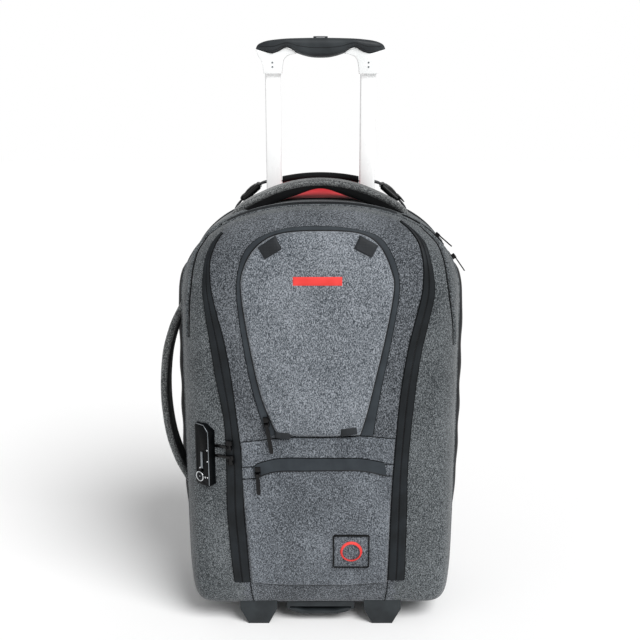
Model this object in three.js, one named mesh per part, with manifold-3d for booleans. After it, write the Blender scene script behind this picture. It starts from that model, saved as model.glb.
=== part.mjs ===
// A carry-on size wheeled backpack: a padded cloth shell with a pull-out trolley handle, two rear wheels,
// two front feet, folded-away shoulder straps and a key lock that holds the main zip sliders.
// Millimetres, +Z up, the front faces -Y. The finished group rests on z = 0.
import * as THREE from "three";
import { mergeVertices } from "three/addons/utils/BufferGeometryUtils.js";
import Module from "manifold-3d";

const wasm = await Module();
wasm.setup();

// Body sizes
const BODY_WIDTH = 324;
const BODY_BOTTOM = 20;
const BODY_TOP = 516;
const ARCH_RISE = 111;
const GUSSET_DEPTH = 105;
const WALL = 4.5;
const SEAM = 0.35;
const HALF_WIDTH = BODY_WIDTH / 2;
const HALF_DEPTH = GUSSET_DEPTH / 2;
const ARCH_START = BODY_TOP - ARCH_RISE;
const SIDE_HEIGHT = ARCH_START - BODY_BOTTOM;
const BODY_HEIGHT = BODY_TOP - BODY_BOTTOM;

// How each face of the body swells out from the side wall. The steps are angles round its rolled edge.
const FRONT = { side: -1, roll: 36, lowRoll: 14, rise: 36, belly: 16, crown: 5, steps: [0, 22, 45, 67, 90] };
const BACK = { side: 1, roll: 16, lowRoll: 12, rise: 16, belly: 5, crown: 0, steps: [0, 40, 90] };
const BELLY_REACH = 100;
const CROWN_CENTRE = ARCH_START - (SIDE_HEIGHT - ARCH_RISE) / 2;
const ARCH_POWER = 2.35;
const CORNER_POWER = 22;
const SIDE_BOW = 0.8;

// Cloth layers that lie on the shell, measured out from it
const ZIP_THICK = 1.9;
const PANEL_THICK = 5.5;
const LOWER_THICK = 3;
const LOOP_THICK = 2.6;
const PATCH_THICK = 1.2;
const PATCH_SIZE = 45;
const PATCH_ACROSS = 0.227;
const PATCH_UP = 0.1778;
const LOWER_ZIP_TOP = 3.2;

// Carrying handles
const HANDLE_WIDTH = 34;
const HANDLE_THICK = 10.5;
const LINING_THICK = 3.2;
const TOP_HANDLE_SPAN = 107;
const TOP_HANDLE_LIFT = 25.6;
const TOP_HANDLE_Y = -8;
const TOP_ZIP_FRONT = -42;
const SIDE_HANDLE_WIDTH = 30;
const SIDE_HANDLE_REACH = 36.5;
const SIDE_HANDLE_LENGTH = 262;
const SIDE_HANDLE_MIDDLE = 276;
const SIDE_HANDLE_Y = -9;

// Side pockets
const POCKET_WALL = 2.5;
const POCKET_REACH = 20;
const POCKET_FRONT = 11;
const POCKET_REAR = 51;
const POCKET_BOTTOM = 88;
const POCKET_HEIGHT = 350;

// Trolley handle
const TUBE_X = 57;
const TUBE_Y = 38.5;
const TUBE_WIDTH = 18.5;
const TUBE_DEPTH = 11.5;
const TUBE_WALL = 1.1;
const TUBE_PLAY = 0.4;
const TUBE_CORNER = 3;
const GRIP_TUBE_LENGTH = 420;
const MID_TUBE_LENGTH = 455;
const GUIDE_FOOT = 27;
const GUIDE_TOP = BODY_TOP + 1.5;
const FLANGE_BORDER = 5;
const FLANGE_DROP = 9;
const GRIP_WIDTH = 154;
const GRIP_DEPTH = 27;
const GRIP_TOP = 702.5;
const GRIP_HEIGHT = 23;
const SOCKET_DROP = 41.5;
const SOCKET_INSERT = 14;
const BUTTON_WIDTH = 17;
const BUTTON_DEPTH = 10;
const BUTTON_TRAVEL = 2.5;
const BUTTON_PROUD = 1.6;

// Rolling gear
const WHEEL_RADIUS = 31;
const WHEEL_WIDTH = 24;
const WHEEL_EDGE = 42;
const WHEEL_X = HALF_WIDTH - WHEEL_EDGE;
const WHEEL_Y = 58;
const AXLE_RADIUS = 3;
const AXLE_PLAY = 0.4;
const WHEEL_PLAY = 1.2;
const HOUSING_WALL = 4;
const HOUSING_TOP = 70;
const BASE_THICK = 4;
const BASE_FRONT = -48;
const BASE_REAR = 66;
const FOOT_X = 76.5;
const FOOT_Y = -77;
const FOOT_TOP_WIDTH = 46;
const FOOT_BOTTOM_WIDTH = 25;
const FOOT_DEPTH = 30;
const FOOT_HEIGHT = 42;
const BOTTOM_HANDLE_WIDTH = 84;
const BOTTOM_HANDLE_LOW = 11;
const BOTTOM_HANDLE_THICK = 4.2;
const BOTTOM_HANDLE_DEPTH = 22;
const BOTTOM_HANDLE_TOP = 38;

// Carrying harness at the back
const PAD_THICK = 9;
const PAD_WIDTH = 216;
const PAD_CORNER = 36;
const PAD_BOTTOM = 88;
const PAD_TOP = 478;
const YOKE_WIDTH = 96;
const YOKE_TOP = 541;
const YOKE_SIDE_DROP = 5;
const YOKE_FRONT = -14;
const YOKE_THICK = 4;
const YOKE_RIM = 7.5;
const STRAP_X = 66;
const STRAP_WIDTH = 58;
const STRAP_THICK = 11;
const STRAP_BOW = 24;
const STRAP_TOP = 498;
const STRAP_BOTTOM = 196;
const WEB_WIDTH = 25;
const WEB_THICK = 2;
const WEB_FOOT = 56;
const LIFTER_WIDTH = 20;
const LIFTER_Y = 62;
const LADDER_WIDTH = 27;
const LADDER_LENGTH = 24;
const LADDER_THICK = 8;
const LADDER_PLACE = 0.42;

// Lock
const LOCK_WIDTH = 23;
const LOCK_HEIGHT = 77;
const LOCK_DEPTH = 17;
const LOCK_PROUD = 4.4;
const LOCK_TURN = THREE.MathUtils.degToRad(40);
const LOCK_ACROSS = -0.84;
const LOCK_UP = 0.4212;
const LOCK_CHAMFER = 8;
const KEY_RADIUS = 5;
const KEY_PROUD = 1;
const KEY_DEPTH = 5;
const LATCH_WIDTH = 3.2;
const LATCH_HEIGHT = 21;
const LATCH_TRAVEL = 4;
const LATCH_PROUD = 1.2;
const LOCK_PLAY = 0.35;

// Zip sliders
const SLIDER_WIDTH = 6.6;
const SLIDER_LENGTH = 11;
const SLIDER_BASE = 2.8;
const EAR_THICK = 1.2;
const EAR_HEIGHT = 3.6;
const PIVOT_RADIUS = 1.3;
const PIVOT_PLAY = 0.3;
const PULL_WIDTH = 4.8;
const PULL_THICK = 1.4;

// Tables of shares. "across" is a share of the half width, "up" a share of the body's height.
const LEFT_ZIP = [
  { up: 0.942, outer: 0.694, inner: 0.681 },
  { up: 0.9285, outer: 0.7345, inner: 0.712 },
  { up: 0.908, outer: 0.774, inner: 0.742 },
  { up: 0.876, outer: 0.803, inner: 0.765 },
  { up: 0.8215, outer: 0.816, inner: 0.7565 },
  { up: 0.77, outer: 0.804, inner: 0.7254 },
  { up: 0.7195, outer: 0.786, inner: 0.6873 },
  { up: 0.667, outer: 0.765, inner: 0.6561 },
  { up: 0.614, outer: 0.744, inner: 0.6317 },
  { up: 0.508, outer: 0.691, inner: 0.5966 },
  { up: 0.3936, outer: 0.682, inner: 0.563 },
  { up: 0.2838, outer: 0.6855, inner: 0.5608 },
  { up: 0.1659, outer: 0.6663, inner: 0.5385 },
  { up: 0.0859, outer: 0.645, inner: 0.5266 },
];
const RIGHT_ZIP = [
  { up: 0.967, outer: 0.565, inner: 0.5544 },
  { up: 0.9495, outer: 0.6437, inner: 0.6215 },
  { up: 0.923, outer: 0.7214, inner: 0.6786 },
  { up: 0.8855, outer: 0.7609, inner: 0.7066 },
  { up: 0.8395, outer: 0.787, inner: 0.7097 },
  { up: 0.8, outer: 0.7867, inner: 0.6948 },
  { up: 0.7205, outer: 0.7372, inner: 0.6378 },
  { up: 0.668, outer: 0.706, inner: 0.6064 },
  { up: 0.5619, outer: 0.668, inner: 0.5641 },
  { up: 0.397, outer: 0.6338, inner: 0.5316 },
  { up: 0.2834, outer: 0.635, inner: 0.5165 },
  { up: 0.0909, outer: 0.63, inner: 0.505 },
];
const ARCH_OUTER = [
  { across: -0.391, up: 0.4765 },
  { across: -0.498, up: 0.6111 },
  { across: -0.571, up: 0.7746 },
  { across: -0.566, up: 0.8647 },
  { across: -0.482, up: 0.924 },
  { across: -0.277, up: 0.955 },
  { across: 0, up: 0.963 },
  { across: 0.284, up: 0.953 },
  { across: 0.443, up: 0.927 },
  { across: 0.54, up: 0.8504 },
  { across: 0.517, up: 0.7525 },
  { across: 0.428, up: 0.5869 },
  { across: 0.376, up: 0.4765 },
];
const ARCH_INNER = [
  { across: -0.312, up: 0.4765 },
  { across: -0.415, up: 0.5626 },
  { across: -0.494, up: 0.6828 },
  { across: -0.551, up: 0.8182 },
  { across: -0.53, up: 0.8725 },
  { across: -0.44, up: 0.92 },
  { across: -0.277, up: 0.948 },
  { across: 0, up: 0.954 },
  { across: 0.27, up: 0.948 },
  { across: 0.41, up: 0.92 },
  { across: 0.492, up: 0.8628 },
  { across: 0.506, up: 0.8182 },
  { across: 0.444, up: 0.6949 },
  { across: 0.338, up: 0.5374 },
  { across: 0.283, up: 0.4765 },
];
const LOWER_EDGE = [
  { across: -0.57, up: 0.4566 },
  { across: -0.2, up: 0.4725 },
  { across: 0.3, up: 0.4745 },
  { across: 0.535, up: 0.4655 },
  { across: 0.52, up: 0.3586 },
  { across: 0.507, up: 0.2273 },
  { across: 0.5, up: 0.0838 },
  { across: 0.2, up: 0.0737 },
  { across: -0.2, up: 0.0737 },
  { across: -0.514, up: 0.0828 },
  { across: -0.527, up: 0.1465 },
  { across: -0.545, up: 0.2273 },
  { across: -0.563, up: 0.3081 },
  { across: -0.572, up: 0.4091 },
];
const LOWER_ZIP = [
  { across: -0.489, up: 0.397 },
  { across: -0.423, up: 0.4101 },
  { across: -0.22, up: 0.4225 },
  { across: 0.212, up: 0.4225 },
  { across: 0.459, up: 0.409 },
  { across: 0.478, up: 0.3747 },
  { across: 0.214, up: 0.3915 },
  { across: -0.293, up: 0.3875 },
  { across: -0.47, up: 0.3677 },
];
const LOOPS = [
  { name: "webbing_loop_upper_left", across: -0.342, up: 0.9165, turn: 31, wide: 23, tall: 15 },
  { name: "webbing_loop_upper_right", across: 0.307, up: 0.9185, turn: -27, wide: 23, tall: 15 },
  { name: "webbing_loop_lower_left", across: -0.268, up: 0.4795, turn: -4, wide: 17.5, tall: 8 },
  { name: "webbing_loop_lower_right", across: 0.198, up: 0.4905, turn: 5, wide: 20, tall: 10 },
];
// The strap's bow: "down" is a share of its length, "out" a share of the bow.
const STRAP_LINE = [
  { down: 0, out: 0 },
  { down: 0.09, out: 0.36 },
  { down: 0.22, out: 0.78 },
  { down: 0.42, out: 1 },
  { down: 0.66, out: 0.86 },
  { down: 0.86, out: 0.55 },
  { down: 1, out: 0.32 },
];
// Half of a carrying handle: "along" is a share of its half span, "lift" a share of its lift.
const HANDLE_LINE = [
  { along: 0, lift: 1 },
  { along: 0.224, lift: 0.914 },
  { along: 0.449, lift: 0.672 },
  { along: 0.664, lift: 0.297 },
  { along: 0.776, lift: 0.06 },
  { along: 0.888, lift: -0.24 },
  { along: 1, lift: -0.69 },
];
const SIDE_HANDLE_LINE = [
  { along: 0, lift: 1 },
  { along: 0.22, lift: 0.96 },
  { along: 0.44, lift: 0.84 },
  { along: 0.66, lift: 0.6 },
  { along: 0.8, lift: 0.36 },
  { along: 0.93, lift: 0.1 },
  { along: 1, lift: 0 },
];
// Half of the grip seen from the front: "out" is a share of its half width, "down" of its height.
const GRIP_UPPER = [
  { out: 1, down: 0.54 },
  { out: 0.96, down: 0.33 },
  { out: 0.857, down: 0.18 },
  { out: 0.714, down: 0.095 },
  { out: 0.455, down: 0.03 },
];
const GRIP_LOWER = [
  { out: 1, down: 0.57 },
  { out: 0.753, down: 0.79 },
  { out: 0.65, down: 0.68 },
  { out: 0.532, down: 0.49 },
  { out: 0.43, down: 0.61 },
  { out: 0.35, down: 0.79 },
  { out: 0.17, down: 0.96 },
];
// A grip socket seen from the front: "in" runs from the tube towards the middle, "rise" from its foot.
const SOCKET_LINE = [
  { in: -10.85, rise: 0 },
  { in: 10.85, rise: 0 },
  { in: 11.4, rise: 8 },
  { in: 13.2, rise: 16.5 },
  { in: 17, rise: 20.5 },
  { in: 23, rise: 22.6 },
  { in: 29, rise: 23.2 },
  { in: 25, rise: 27 },
  { in: 16, rise: 32 },
  { in: 5, rise: 28 },
  { in: -19.5, rise: 27.5 },
  { in: -17.5, rise: 21.5 },
  { in: -13, rise: 15 },
  { in: -11.4, rise: 8 },
];
// The load lifter's webbing past the yoke.
// "across" is a share of the half width, "above" a height over the body's top.
const LIFTER_LINE = [
  { across: 0.457, above: 12 },
  { across: 0.636, above: -13 },
  { across: 0.667, above: -24 },
];
// A side pocket seen from the front: "out" is a share of its reach, "up" of its height.
const POCKET_LINE = [
  { out: 0, up: 0 },
  { out: 0.72, up: 0.03 },
  { out: 0.97, up: 0.27 },
  { out: 0.96, up: 0.72 },
  { out: 0.9, up: 0.87 },
  { out: 0.68, up: 0.95 },
  { out: 0.36, up: 0.985 },
  { out: 0, up: 1 },
];
// The lower half of the body's outline, from the end of the arch to the middle of the underside.
const SIDE_STEPS = [0.3, 0.62, 0.87, 0.945, 0.978];
const CORNER_STEPS = [0.93, 0.6];

// Solids and polygons

function toSolid(geometry) {
  const bare = geometry.index ? geometry.toNonIndexed() : geometry.clone();
  bare.deleteAttribute("normal");
  bare.deleteAttribute("uv");
  const merged = mergeVertices(bare, 1e-4);
  return new wasm.Manifold(
    new wasm.Mesh({
      numProp: 3,
      vertProperties: merged.attributes.position.array,
      triVerts: new Uint32Array(merged.index.array),
    }),
  );
}

function toGeometry(solid) {
  const mesh = solid.getMesh();
  const geometry = new THREE.BufferGeometry();
  geometry.setAttribute("position", new THREE.BufferAttribute(mesh.vertProperties, 3));
  geometry.setIndex(new THREE.BufferAttribute(mesh.triVerts, 1));
  const flat = geometry.toNonIndexed();
  flat.computeVertexNormals();
  return flat;
}

const point = (x, y) => new THREE.Vector2(x, y);
const join = (solids) => solids.reduce((sum, solid) => sum.add(solid));

// A closed outline carried along one axis from one place to another.
// The outline's two numbers run along the other two axes, in the order below.
const CARRIES = {
  x: new THREE.Matrix4().makeBasis(
    new THREE.Vector3(0, 1, 0), new THREE.Vector3(0, 0, 1), new THREE.Vector3(1, 0, 0)),
  y: new THREE.Matrix4().makeBasis(
    new THREE.Vector3(1, 0, 0), new THREE.Vector3(0, 0, 1), new THREE.Vector3(0, -1, 0)),
  z: new THREE.Matrix4(),
};

function prism(outline, axis, from, to) {
  const depth = Math.abs(to - from);
  const geometry = new THREE.ExtrudeGeometry(new THREE.Shape(outline), { depth, bevelEnabled: false });
  geometry.applyMatrix4(CARRIES[axis]);
  const start = axis === "y" ? Math.max(from, to) : Math.min(from, to);
  const shift = { x: 0, y: 0, z: 0, [axis]: start };
  geometry.translate(shift.x, shift.y, shift.z);
  return toSolid(geometry);
}

function block(x0, x1, y0, y1, z0, z1) {
  const geometry = new THREE.BoxGeometry(x1 - x0, y1 - y0, z1 - z0);
  geometry.translate((x0 + x1) / 2, (y0 + y1) / 2, (z0 + z1) / 2);
  return toSolid(geometry);
}

function rod(radius, x0, x1, y, z, sides) {
  const geometry = new THREE.CylinderGeometry(radius, radius, x1 - x0, sides);
  geometry.rotateZ(Math.PI / 2);
  geometry.translate((x0 + x1) / 2, y, z);
  return toSolid(geometry);
}

function roundedRectangle(width, depth, corner, steps = 2) {
  const outline = [];
  const corners = [[1, 1], [-1, 1], [-1, -1], [1, -1]];
  corners.forEach(([sx, sy], turn) => {
    for (let i = 0; i <= steps; i += 1) {
      const angle = (turn + i / steps) * (Math.PI / 2);
      outline.push(point(
        sx * (width / 2 - corner) + corner * Math.cos(angle),
        sy * (depth / 2 - corner) + corner * Math.sin(angle),
      ));
    }
  });
  return outline;
}

const inPlace = (outline, x, y) => outline.map((p) => point(p.x + x, p.y + y));
const across = (share) => share * HALF_WIDTH;
const up = (share) => BODY_BOTTOM + share * BODY_HEIGHT;
const onBody = (rows) => rows.map((row) => point(across(row.across), up(row.up)));
const smooth = (points, count) => new THREE.SplineCurve(points).getPoints(count);

// Moves each edge of a closed outline, taken anticlockwise, out by a distance, or in if it is negative.
function grow(outline, distance) {
  const wound = THREE.ShapeUtils.isClockWise(outline) ? [...outline].reverse() : outline;
  return wound.map((here, i) => {
    const before = wound[(i + wound.length - 1) % wound.length];
    const after = wound[(i + 1) % wound.length];
    const into = here.clone().sub(before).normalize();
    const away = after.clone().sub(here).normalize();
    const normal = point(into.y + away.y, -into.x - away.x).normalize();
    const spread = Math.max(0.5, normal.dot(point(into.y, -into.x)));
    return here.clone().addScaledVector(normal, distance / spread);
  });
}

// The body's outline, as directions that every ring of the shell shares.

function bodySpokes() {
  const spokes = [];
  const archSteps = 16;
  for (let i = 0; i <= archSteps; i += 1) {
    const angle = (i / archSteps) * Math.PI;
    const wide = Math.abs(Math.cos(angle)) ** (2 / ARCH_POWER);
    const tall = Math.abs(Math.sin(angle)) ** (2 / ARCH_POWER);
    spokes.push({ wide: Math.sign(Math.cos(angle)) * wide, tall, arch: true });
  }
  const other = (share) => (1 - share ** CORNER_POWER) ** (1 / CORNER_POWER);
  const bow = (share) => (SIDE_BOW / HALF_WIDTH) * Math.sin(share * Math.PI);
  const quarter = [
    ...SIDE_STEPS.map((down) => ({ wide: other(down) + bow(down), tall: -down })),
    ...CORNER_STEPS.map((wide) => ({ wide, tall: -other(wide) })),
  ];
  const left = quarter.map((spoke) => ({ wide: -spoke.wide, tall: spoke.tall }));
  return [...spokes, ...left, { wide: 0, tall: -1 }, ...[...quarter].reverse()];
}

const SPOKES = bodySpokes();

function spokePoint(spoke, inset) {
  const reach = (spoke.arch ? ARCH_RISE : SIDE_HEIGHT) - inset;
  return point(spoke.wide * (HALF_WIDTH - inset), ARCH_START + spoke.tall * reach);
}

const bodyOutline = (offset) => SPOKES.map((spoke) => spokePoint(spoke, -offset));
const bodySlice = (offset, from, to) => prism(bodyOutline(offset), "y", from, to);

// The swollen front or back of the body, offset along its own normals, as rings from the rim inwards.
const BELLY_STEPS = [0.4, 1];
const CROWN_STEPS = [0.5];

function faceRings(form, offset) {
  const rise = form.rise + offset;
  const belly = (inset) => form.belly * (1 - (1 - Math.max(0, inset) / BELLY_REACH) ** 2);
  const rollOf = (spoke) => {
    const low = THREE.MathUtils.smoothstep(-spoke.tall, 0.15, 1);
    return THREE.MathUtils.lerp(form.roll, form.lowRoll, low);
  };
  const ring = (insetOf, heightOf) => SPOKES.map((spoke) => {
    const inset = insetOf(spoke);
    const flat = spokePoint(spoke, inset);
    return new THREE.Vector3(flat.x, form.side * (HALF_DEPTH + heightOf(inset)), flat.y);
  });
  const rings = form.steps.map((degrees) => {
    const angle = THREE.MathUtils.degToRad(degrees);
    const insetOf = (spoke) => rollOf(spoke) * (1 - Math.cos(angle)) - offset * Math.cos(angle);
    return ring(insetOf, (inset) => rise * Math.sin(angle) + belly(inset));
  });
  BELLY_STEPS.forEach((share) => {
    const insetOf = (spoke) => THREE.MathUtils.lerp(rollOf(spoke), BELLY_REACH, share);
    rings.push(ring(insetOf, (inset) => rise + belly(inset)));
  });
  const rim = rings[rings.length - 1];
  const middle = new THREE.Vector3(0, form.side * (HALF_DEPTH + rise + form.belly), CROWN_CENTRE);
  const crowned = (share) => {
    const bump = form.side * form.crown * (1 - share * share) ** 2;
    return rim.map((p) => p.clone().lerp(middle, 1 - share).add(new THREE.Vector3(0, bump, 0)));
  };
  CROWN_STEPS.forEach((share) => rings.push(crowned(share)));
  rings.push([middle.clone().add(new THREE.Vector3(0, form.side * form.crown, 0))]);
  return rings;
}

// The same face closed at a plane behind its rim, as a solid.
function face(form, offset, behind) {
  const rings = faceRings(form, offset);
  const rimY = form.side * HALF_DEPTH;
  const floorY = rimY - form.side * behind;
  const floorRing = rings[0].map((p) => new THREE.Vector3(p.x, floorY, p.z));
  const layers = behind > 0 ? [floorRing, ...rings] : rings;
  const corners = [];
  const count = SPOKES.length;
  const triangle = (a, b, c) => corners.push(...(form.side < 0 ? [a, b, c] : [a, c, b]));
  for (let i = 0; i + 1 < layers.length; i += 1) {
    for (let k = 0; k < count; k += 1) {
      const next = (k + 1) % count;
      const outer = layers[i];
      const inner = layers[i + 1];
      if (inner.length === 1) {
        triangle(outer[k], outer[next], inner[0]);
      } else {
        triangle(outer[k], outer[next], inner[next]);
        triangle(outer[k], inner[next], inner[k]);
      }
    }
  }
  const floorMiddle = new THREE.Vector3(0, floorY, CROWN_CENTRE);
  for (let k = 0; k < count; k += 1) {
    triangle(floorMiddle, layers[0][(k + 1) % count], layers[0][k]);
  }
  return toSolid(new THREE.BufferGeometry().setFromPoints(corners));
}

// Cloth that lies on the shell between two offsets, inside an outline seen from the front.
const DEEP = 8;
const faces = new Map();
function faceAt(form, offset) {
  const key = `${form.side} ${offset}`;
  if (!faces.has(key)) faces.set(key, face(form, offset, DEEP));
  return faces.get(key);
}

function applied(form, outline, from, to) {
  const reach = form.side * (HALF_DEPTH + form.rise + form.belly + form.crown + to + DEEP);
  const cookie = prism(outline, "y", form.side * (HALF_DEPTH - DEEP / 2), reach);
  return faceAt(form, to).intersect(cookie).subtract(faceAt(form, from));
}

// The place and the outward direction of the front or back skin at one x and z.
function skinAt(form, offset, x, z) {
  const rings = faceRings(form, offset);
  const target = point(x, z);
  const flat = (p) => point(p.x, p.z);
  for (let i = 0; i + 1 < rings.length; i += 1) {
    for (let k = 0; k < SPOKES.length; k += 1) {
      const next = (k + 1) % SPOKES.length;
      const inner = rings[i + 1];
      const sets = inner.length === 1
        ? [[rings[i][k], rings[i][next], inner[0]]]
        : [[rings[i][k], rings[i][next], inner[next]], [rings[i][k], inner[next], inner[k]]];
      for (const [a, b, c] of sets) {
        const cross = (p, q, r) => (q.x - p.x) * (r.y - p.y) - (q.y - p.y) * (r.x - p.x);
        const whole = cross(flat(a), flat(b), flat(c));
        const u = cross(target, flat(b), flat(c)) / whole;
        const v = cross(flat(a), target, flat(c)) / whole;
        if (u >= 0 && v >= 0 && u + v <= 1) {
          const normal = b.clone().sub(a).cross(c.clone().sub(a)).normalize();
          if (normal.y * form.side < 0) normal.negate();
          return { place: new THREE.Vector3(x, a.y * u + b.y * v + c.y * (1 - u - v), z), normal };
        }
      }
    }
  }
  throw new Error(`no skin at ${x}, ${z}`);
}

// A frame whose Z stands away from the cloth and whose -Y points down the pull.
function standing(place, normal, down) {
  const z = normal.clone().normalize();
  const y = down.clone().negate();
  y.addScaledVector(z, -y.dot(z)).normalize();
  const x = y.clone().cross(z);
  return new THREE.Matrix4().makeBasis(x, y, z).setPosition(place);
}

// Scene helpers

const bag = new THREE.Group();

function add(name, geometry, colour, roughness = 0.9, metalness = 0, parent = bag) {
  const material = new THREE.MeshStandardMaterial({ color: colour, roughness, metalness });
  const mesh = new THREE.Mesh(geometry, material);
  mesh.name = name;
  parent.add(mesh);
  return mesh;
}

function addAt(name, geometry, frame, colour, roughness, metalness) {
  const mesh = add(name, geometry, colour, roughness, metalness);
  mesh.applyMatrix4(frame);
  return mesh;
}

const COLOURS = {
  heather: 0x55575a,
  lightHeather: 0x6c6e70,
  darkHeather: 0x3c3e41,
  black: 0x17181a,
  red: 0xd8383c,
  zip: 0x232529,
  plastic: 0x1b1c1e,
  gloss: 0x08090a,
  white: 0xe6e8ea,
  silver: 0xb9bdc2,
  rubber: 0x26282b,
};

// Trolley tubes. Each one runs inside the next with the same play.

const growTube = TUBE_PLAY + TUBE_WALL;
const MID_WIDTH = TUBE_WIDTH + 2 * growTube;
const MID_DEPTH = TUBE_DEPTH + 2 * growTube;
const GUIDE_WIDTH = MID_WIDTH + 2 * growTube;
const GUIDE_DEPTH = MID_DEPTH + 2 * growTube;
const FLANGE_WIDTH = GUIDE_WIDTH + 2 * FLANGE_BORDER;
const FLANGE_DEPTH = GUIDE_DEPTH + 2 * FLANGE_BORDER;
const SOCKET_FOOT = GRIP_TOP - SOCKET_DROP;
const GRIP_TUBE_TOP = SOCKET_FOOT + SOCKET_INSERT;
const GRIP_TUBE_FOOT = GRIP_TUBE_TOP - GRIP_TUBE_LENGTH;
const MID_TUBE_TOP = GUIDE_TOP;
const MID_TUBE_FOOT = MID_TUBE_TOP - MID_TUBE_LENGTH;

function tubeSolid(width, depth, side, from, to) {
  const outline = roundedRectangle(width, depth, TUBE_CORNER);
  return prism(inPlace(outline, side * TUBE_X, TUBE_Y), "z", from, to);
}

function hollowTube(width, depth, side, from, to) {
  const bore = tubeSolid(width - 2 * TUBE_WALL, depth - 2 * TUBE_WALL, side, from - 1, to + 1);
  return tubeSolid(width, depth, side, from, to).subtract(bore);
}

const trolleyCut = join([-1, 1].map((side) => (
  tubeSolid(GUIDE_WIDTH + 2 * SEAM, GUIDE_DEPTH + 2 * SEAM, side, BODY_TOP / 2, BODY_TOP + HALF_WIDTH)
)));

for (const [side, word] of [[-1, "left"], [1, "right"]]) {
  const flangeOutline = roundedRectangle(FLANGE_WIDTH, FLANGE_DEPTH, TUBE_CORNER + FLANGE_BORDER);
  const flange = prism(
    inPlace(flangeOutline, side * TUBE_X, TUBE_Y), "z", GUIDE_TOP - FLANGE_DROP, GUIDE_TOP);
  const flangeBore = tubeSolid(GUIDE_WIDTH - 1, GUIDE_DEPTH - 1, side, 0, GRIP_TOP);
  const seated = flange
    .subtract(bodySlice(SEAM, -HALF_DEPTH, HALF_DEPTH + BACK.rise))
    .subtract(flangeBore);
  const guide = hollowTube(GUIDE_WIDTH, GUIDE_DEPTH, side, GUIDE_FOOT, GUIDE_TOP).add(seated);
  add(`guide_tube_${word}`, toGeometry(guide), COLOURS.plastic, 0.5, 0);
  const mid = hollowTube(MID_WIDTH, MID_DEPTH, side, MID_TUBE_FOOT, MID_TUBE_TOP);
  add(`mid_tube_${word}`, toGeometry(mid), COLOURS.silver, 0.35, 0.8);
  const grip = hollowTube(TUBE_WIDTH, TUBE_DEPTH, side, GRIP_TUBE_FOOT, GRIP_TUBE_TOP);
  add(`grip_tube_${word}`, toGeometry(grip), COLOURS.white, 0.35, 0.6);
}

// Grip: an arched bar with a push button, on two flared sockets

const gripHalf = (rows) => rows.map((row) => point(
  row.out * (GRIP_WIDTH / 2), GRIP_TOP - row.down * GRIP_HEIGHT));
const gripOutline = [
  ...gripHalf(GRIP_UPPER),
  point(0, GRIP_TOP),
  ...gripHalf(GRIP_UPPER).reverse().map((p) => point(-p.x, p.y)),
  ...gripHalf(GRIP_LOWER).map((p) => point(-p.x, p.y)),
  point(0, GRIP_TOP - GRIP_HEIGHT),
  ...gripHalf(GRIP_LOWER).reverse(),
];
const buttonTop = GRIP_TOP + BUTTON_PROUD;
const buttonFloor = GRIP_TOP - BUTTON_TRAVEL - 4;
const buttonHole = block(
  -BUTTON_WIDTH / 2 - TUBE_PLAY, BUTTON_WIDTH / 2 + TUBE_PLAY,
  TUBE_Y - BUTTON_DEPTH / 2 - TUBE_PLAY, TUBE_Y + BUTTON_DEPTH / 2 + TUBE_PLAY,
  buttonFloor - BUTTON_TRAVEL - SEAM, buttonTop + 5,
);
const gripPlan = inPlace(roundedRectangle(GRIP_WIDTH + 2, GRIP_DEPTH, GRIP_DEPTH * 0.42, 3), 0, TUBE_Y);
const gripSolid = prism(gripOutline, "y", TUBE_Y - GRIP_DEPTH / 2, TUBE_Y + GRIP_DEPTH / 2)
  .intersect(prism(gripPlan, "z", SOCKET_FOOT, buttonTop + 5))
  .subtract(buttonHole);
add("handle_grip", toGeometry(gripSolid), COLOURS.plastic, 0.45, 0);
const buttonSolid = block(
  -BUTTON_WIDTH / 2, BUTTON_WIDTH / 2,
  TUBE_Y - BUTTON_DEPTH / 2, TUBE_Y + BUTTON_DEPTH / 2, buttonFloor, buttonTop);
add("grip_button", toGeometry(buttonSolid), COLOURS.plastic, 0.4, 0);

for (const [side, word] of [[-1, "left"], [1, "right"]]) {
  const flare = SOCKET_LINE.map((row) => point(side * (TUBE_X - row.in), SOCKET_FOOT + row.rise));
  const around = inPlace(roundedRectangle(3.4 * TUBE_WIDTH, TUBE_DEPTH + 7, 5), side * TUBE_X, TUBE_Y);
  const bore = tubeSolid(TUBE_WIDTH + 2 * SEAM, TUBE_DEPTH + 2 * SEAM, side, 0, GRIP_TUBE_TOP + SEAM);
  const gripAbove = prism(grow(gripOutline, SEAM), "y", TUBE_Y - GRIP_DEPTH, TUBE_Y + GRIP_DEPTH);
  const socket = prism(flare, "y", TUBE_Y - GRIP_DEPTH, TUBE_Y + GRIP_DEPTH)
    .intersect(prism(around, "z", SOCKET_FOOT - 1, GRIP_TOP))
    .subtract(bore)
    .subtract(gripAbove);
  add(`grip_socket_${word}`, toGeometry(socket), COLOURS.white, 0.4, 0);
}

// Wheels, housings, feet and base

const HOUSING_IN = WHEEL_X - WHEEL_WIDTH / 2 - WHEEL_PLAY - HOUSING_WALL;
const HOUSING_OUT = WHEEL_X + WHEEL_WIDTH / 2 + WHEEL_PLAY + HOUSING_WALL;
const HOUSING_FRONT = WHEEL_Y - WHEEL_RADIUS - WHEEL_PLAY - HOUSING_WALL;
const HOUSING_REAR = WHEEL_Y + WHEEL_RADIUS * 0.72;
const HOUSING_FOOT = BODY_BOTTOM - 6;
const housingProfile = [
  point(HOUSING_FRONT, HOUSING_FOOT),
  point(HOUSING_REAR, HOUSING_FOOT),
  point(HOUSING_REAR, HOUSING_TOP * 0.72),
  point(HOUSING_REAR - 9, HOUSING_TOP),
  point(HOUSING_FRONT + 10, HOUSING_TOP),
  point(HOUSING_FRONT, HOUSING_TOP * 0.8),
];
const sideRange = (side, inner, outer) => (side < 0 ? [-outer, -inner] : [inner, outer]);

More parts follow.
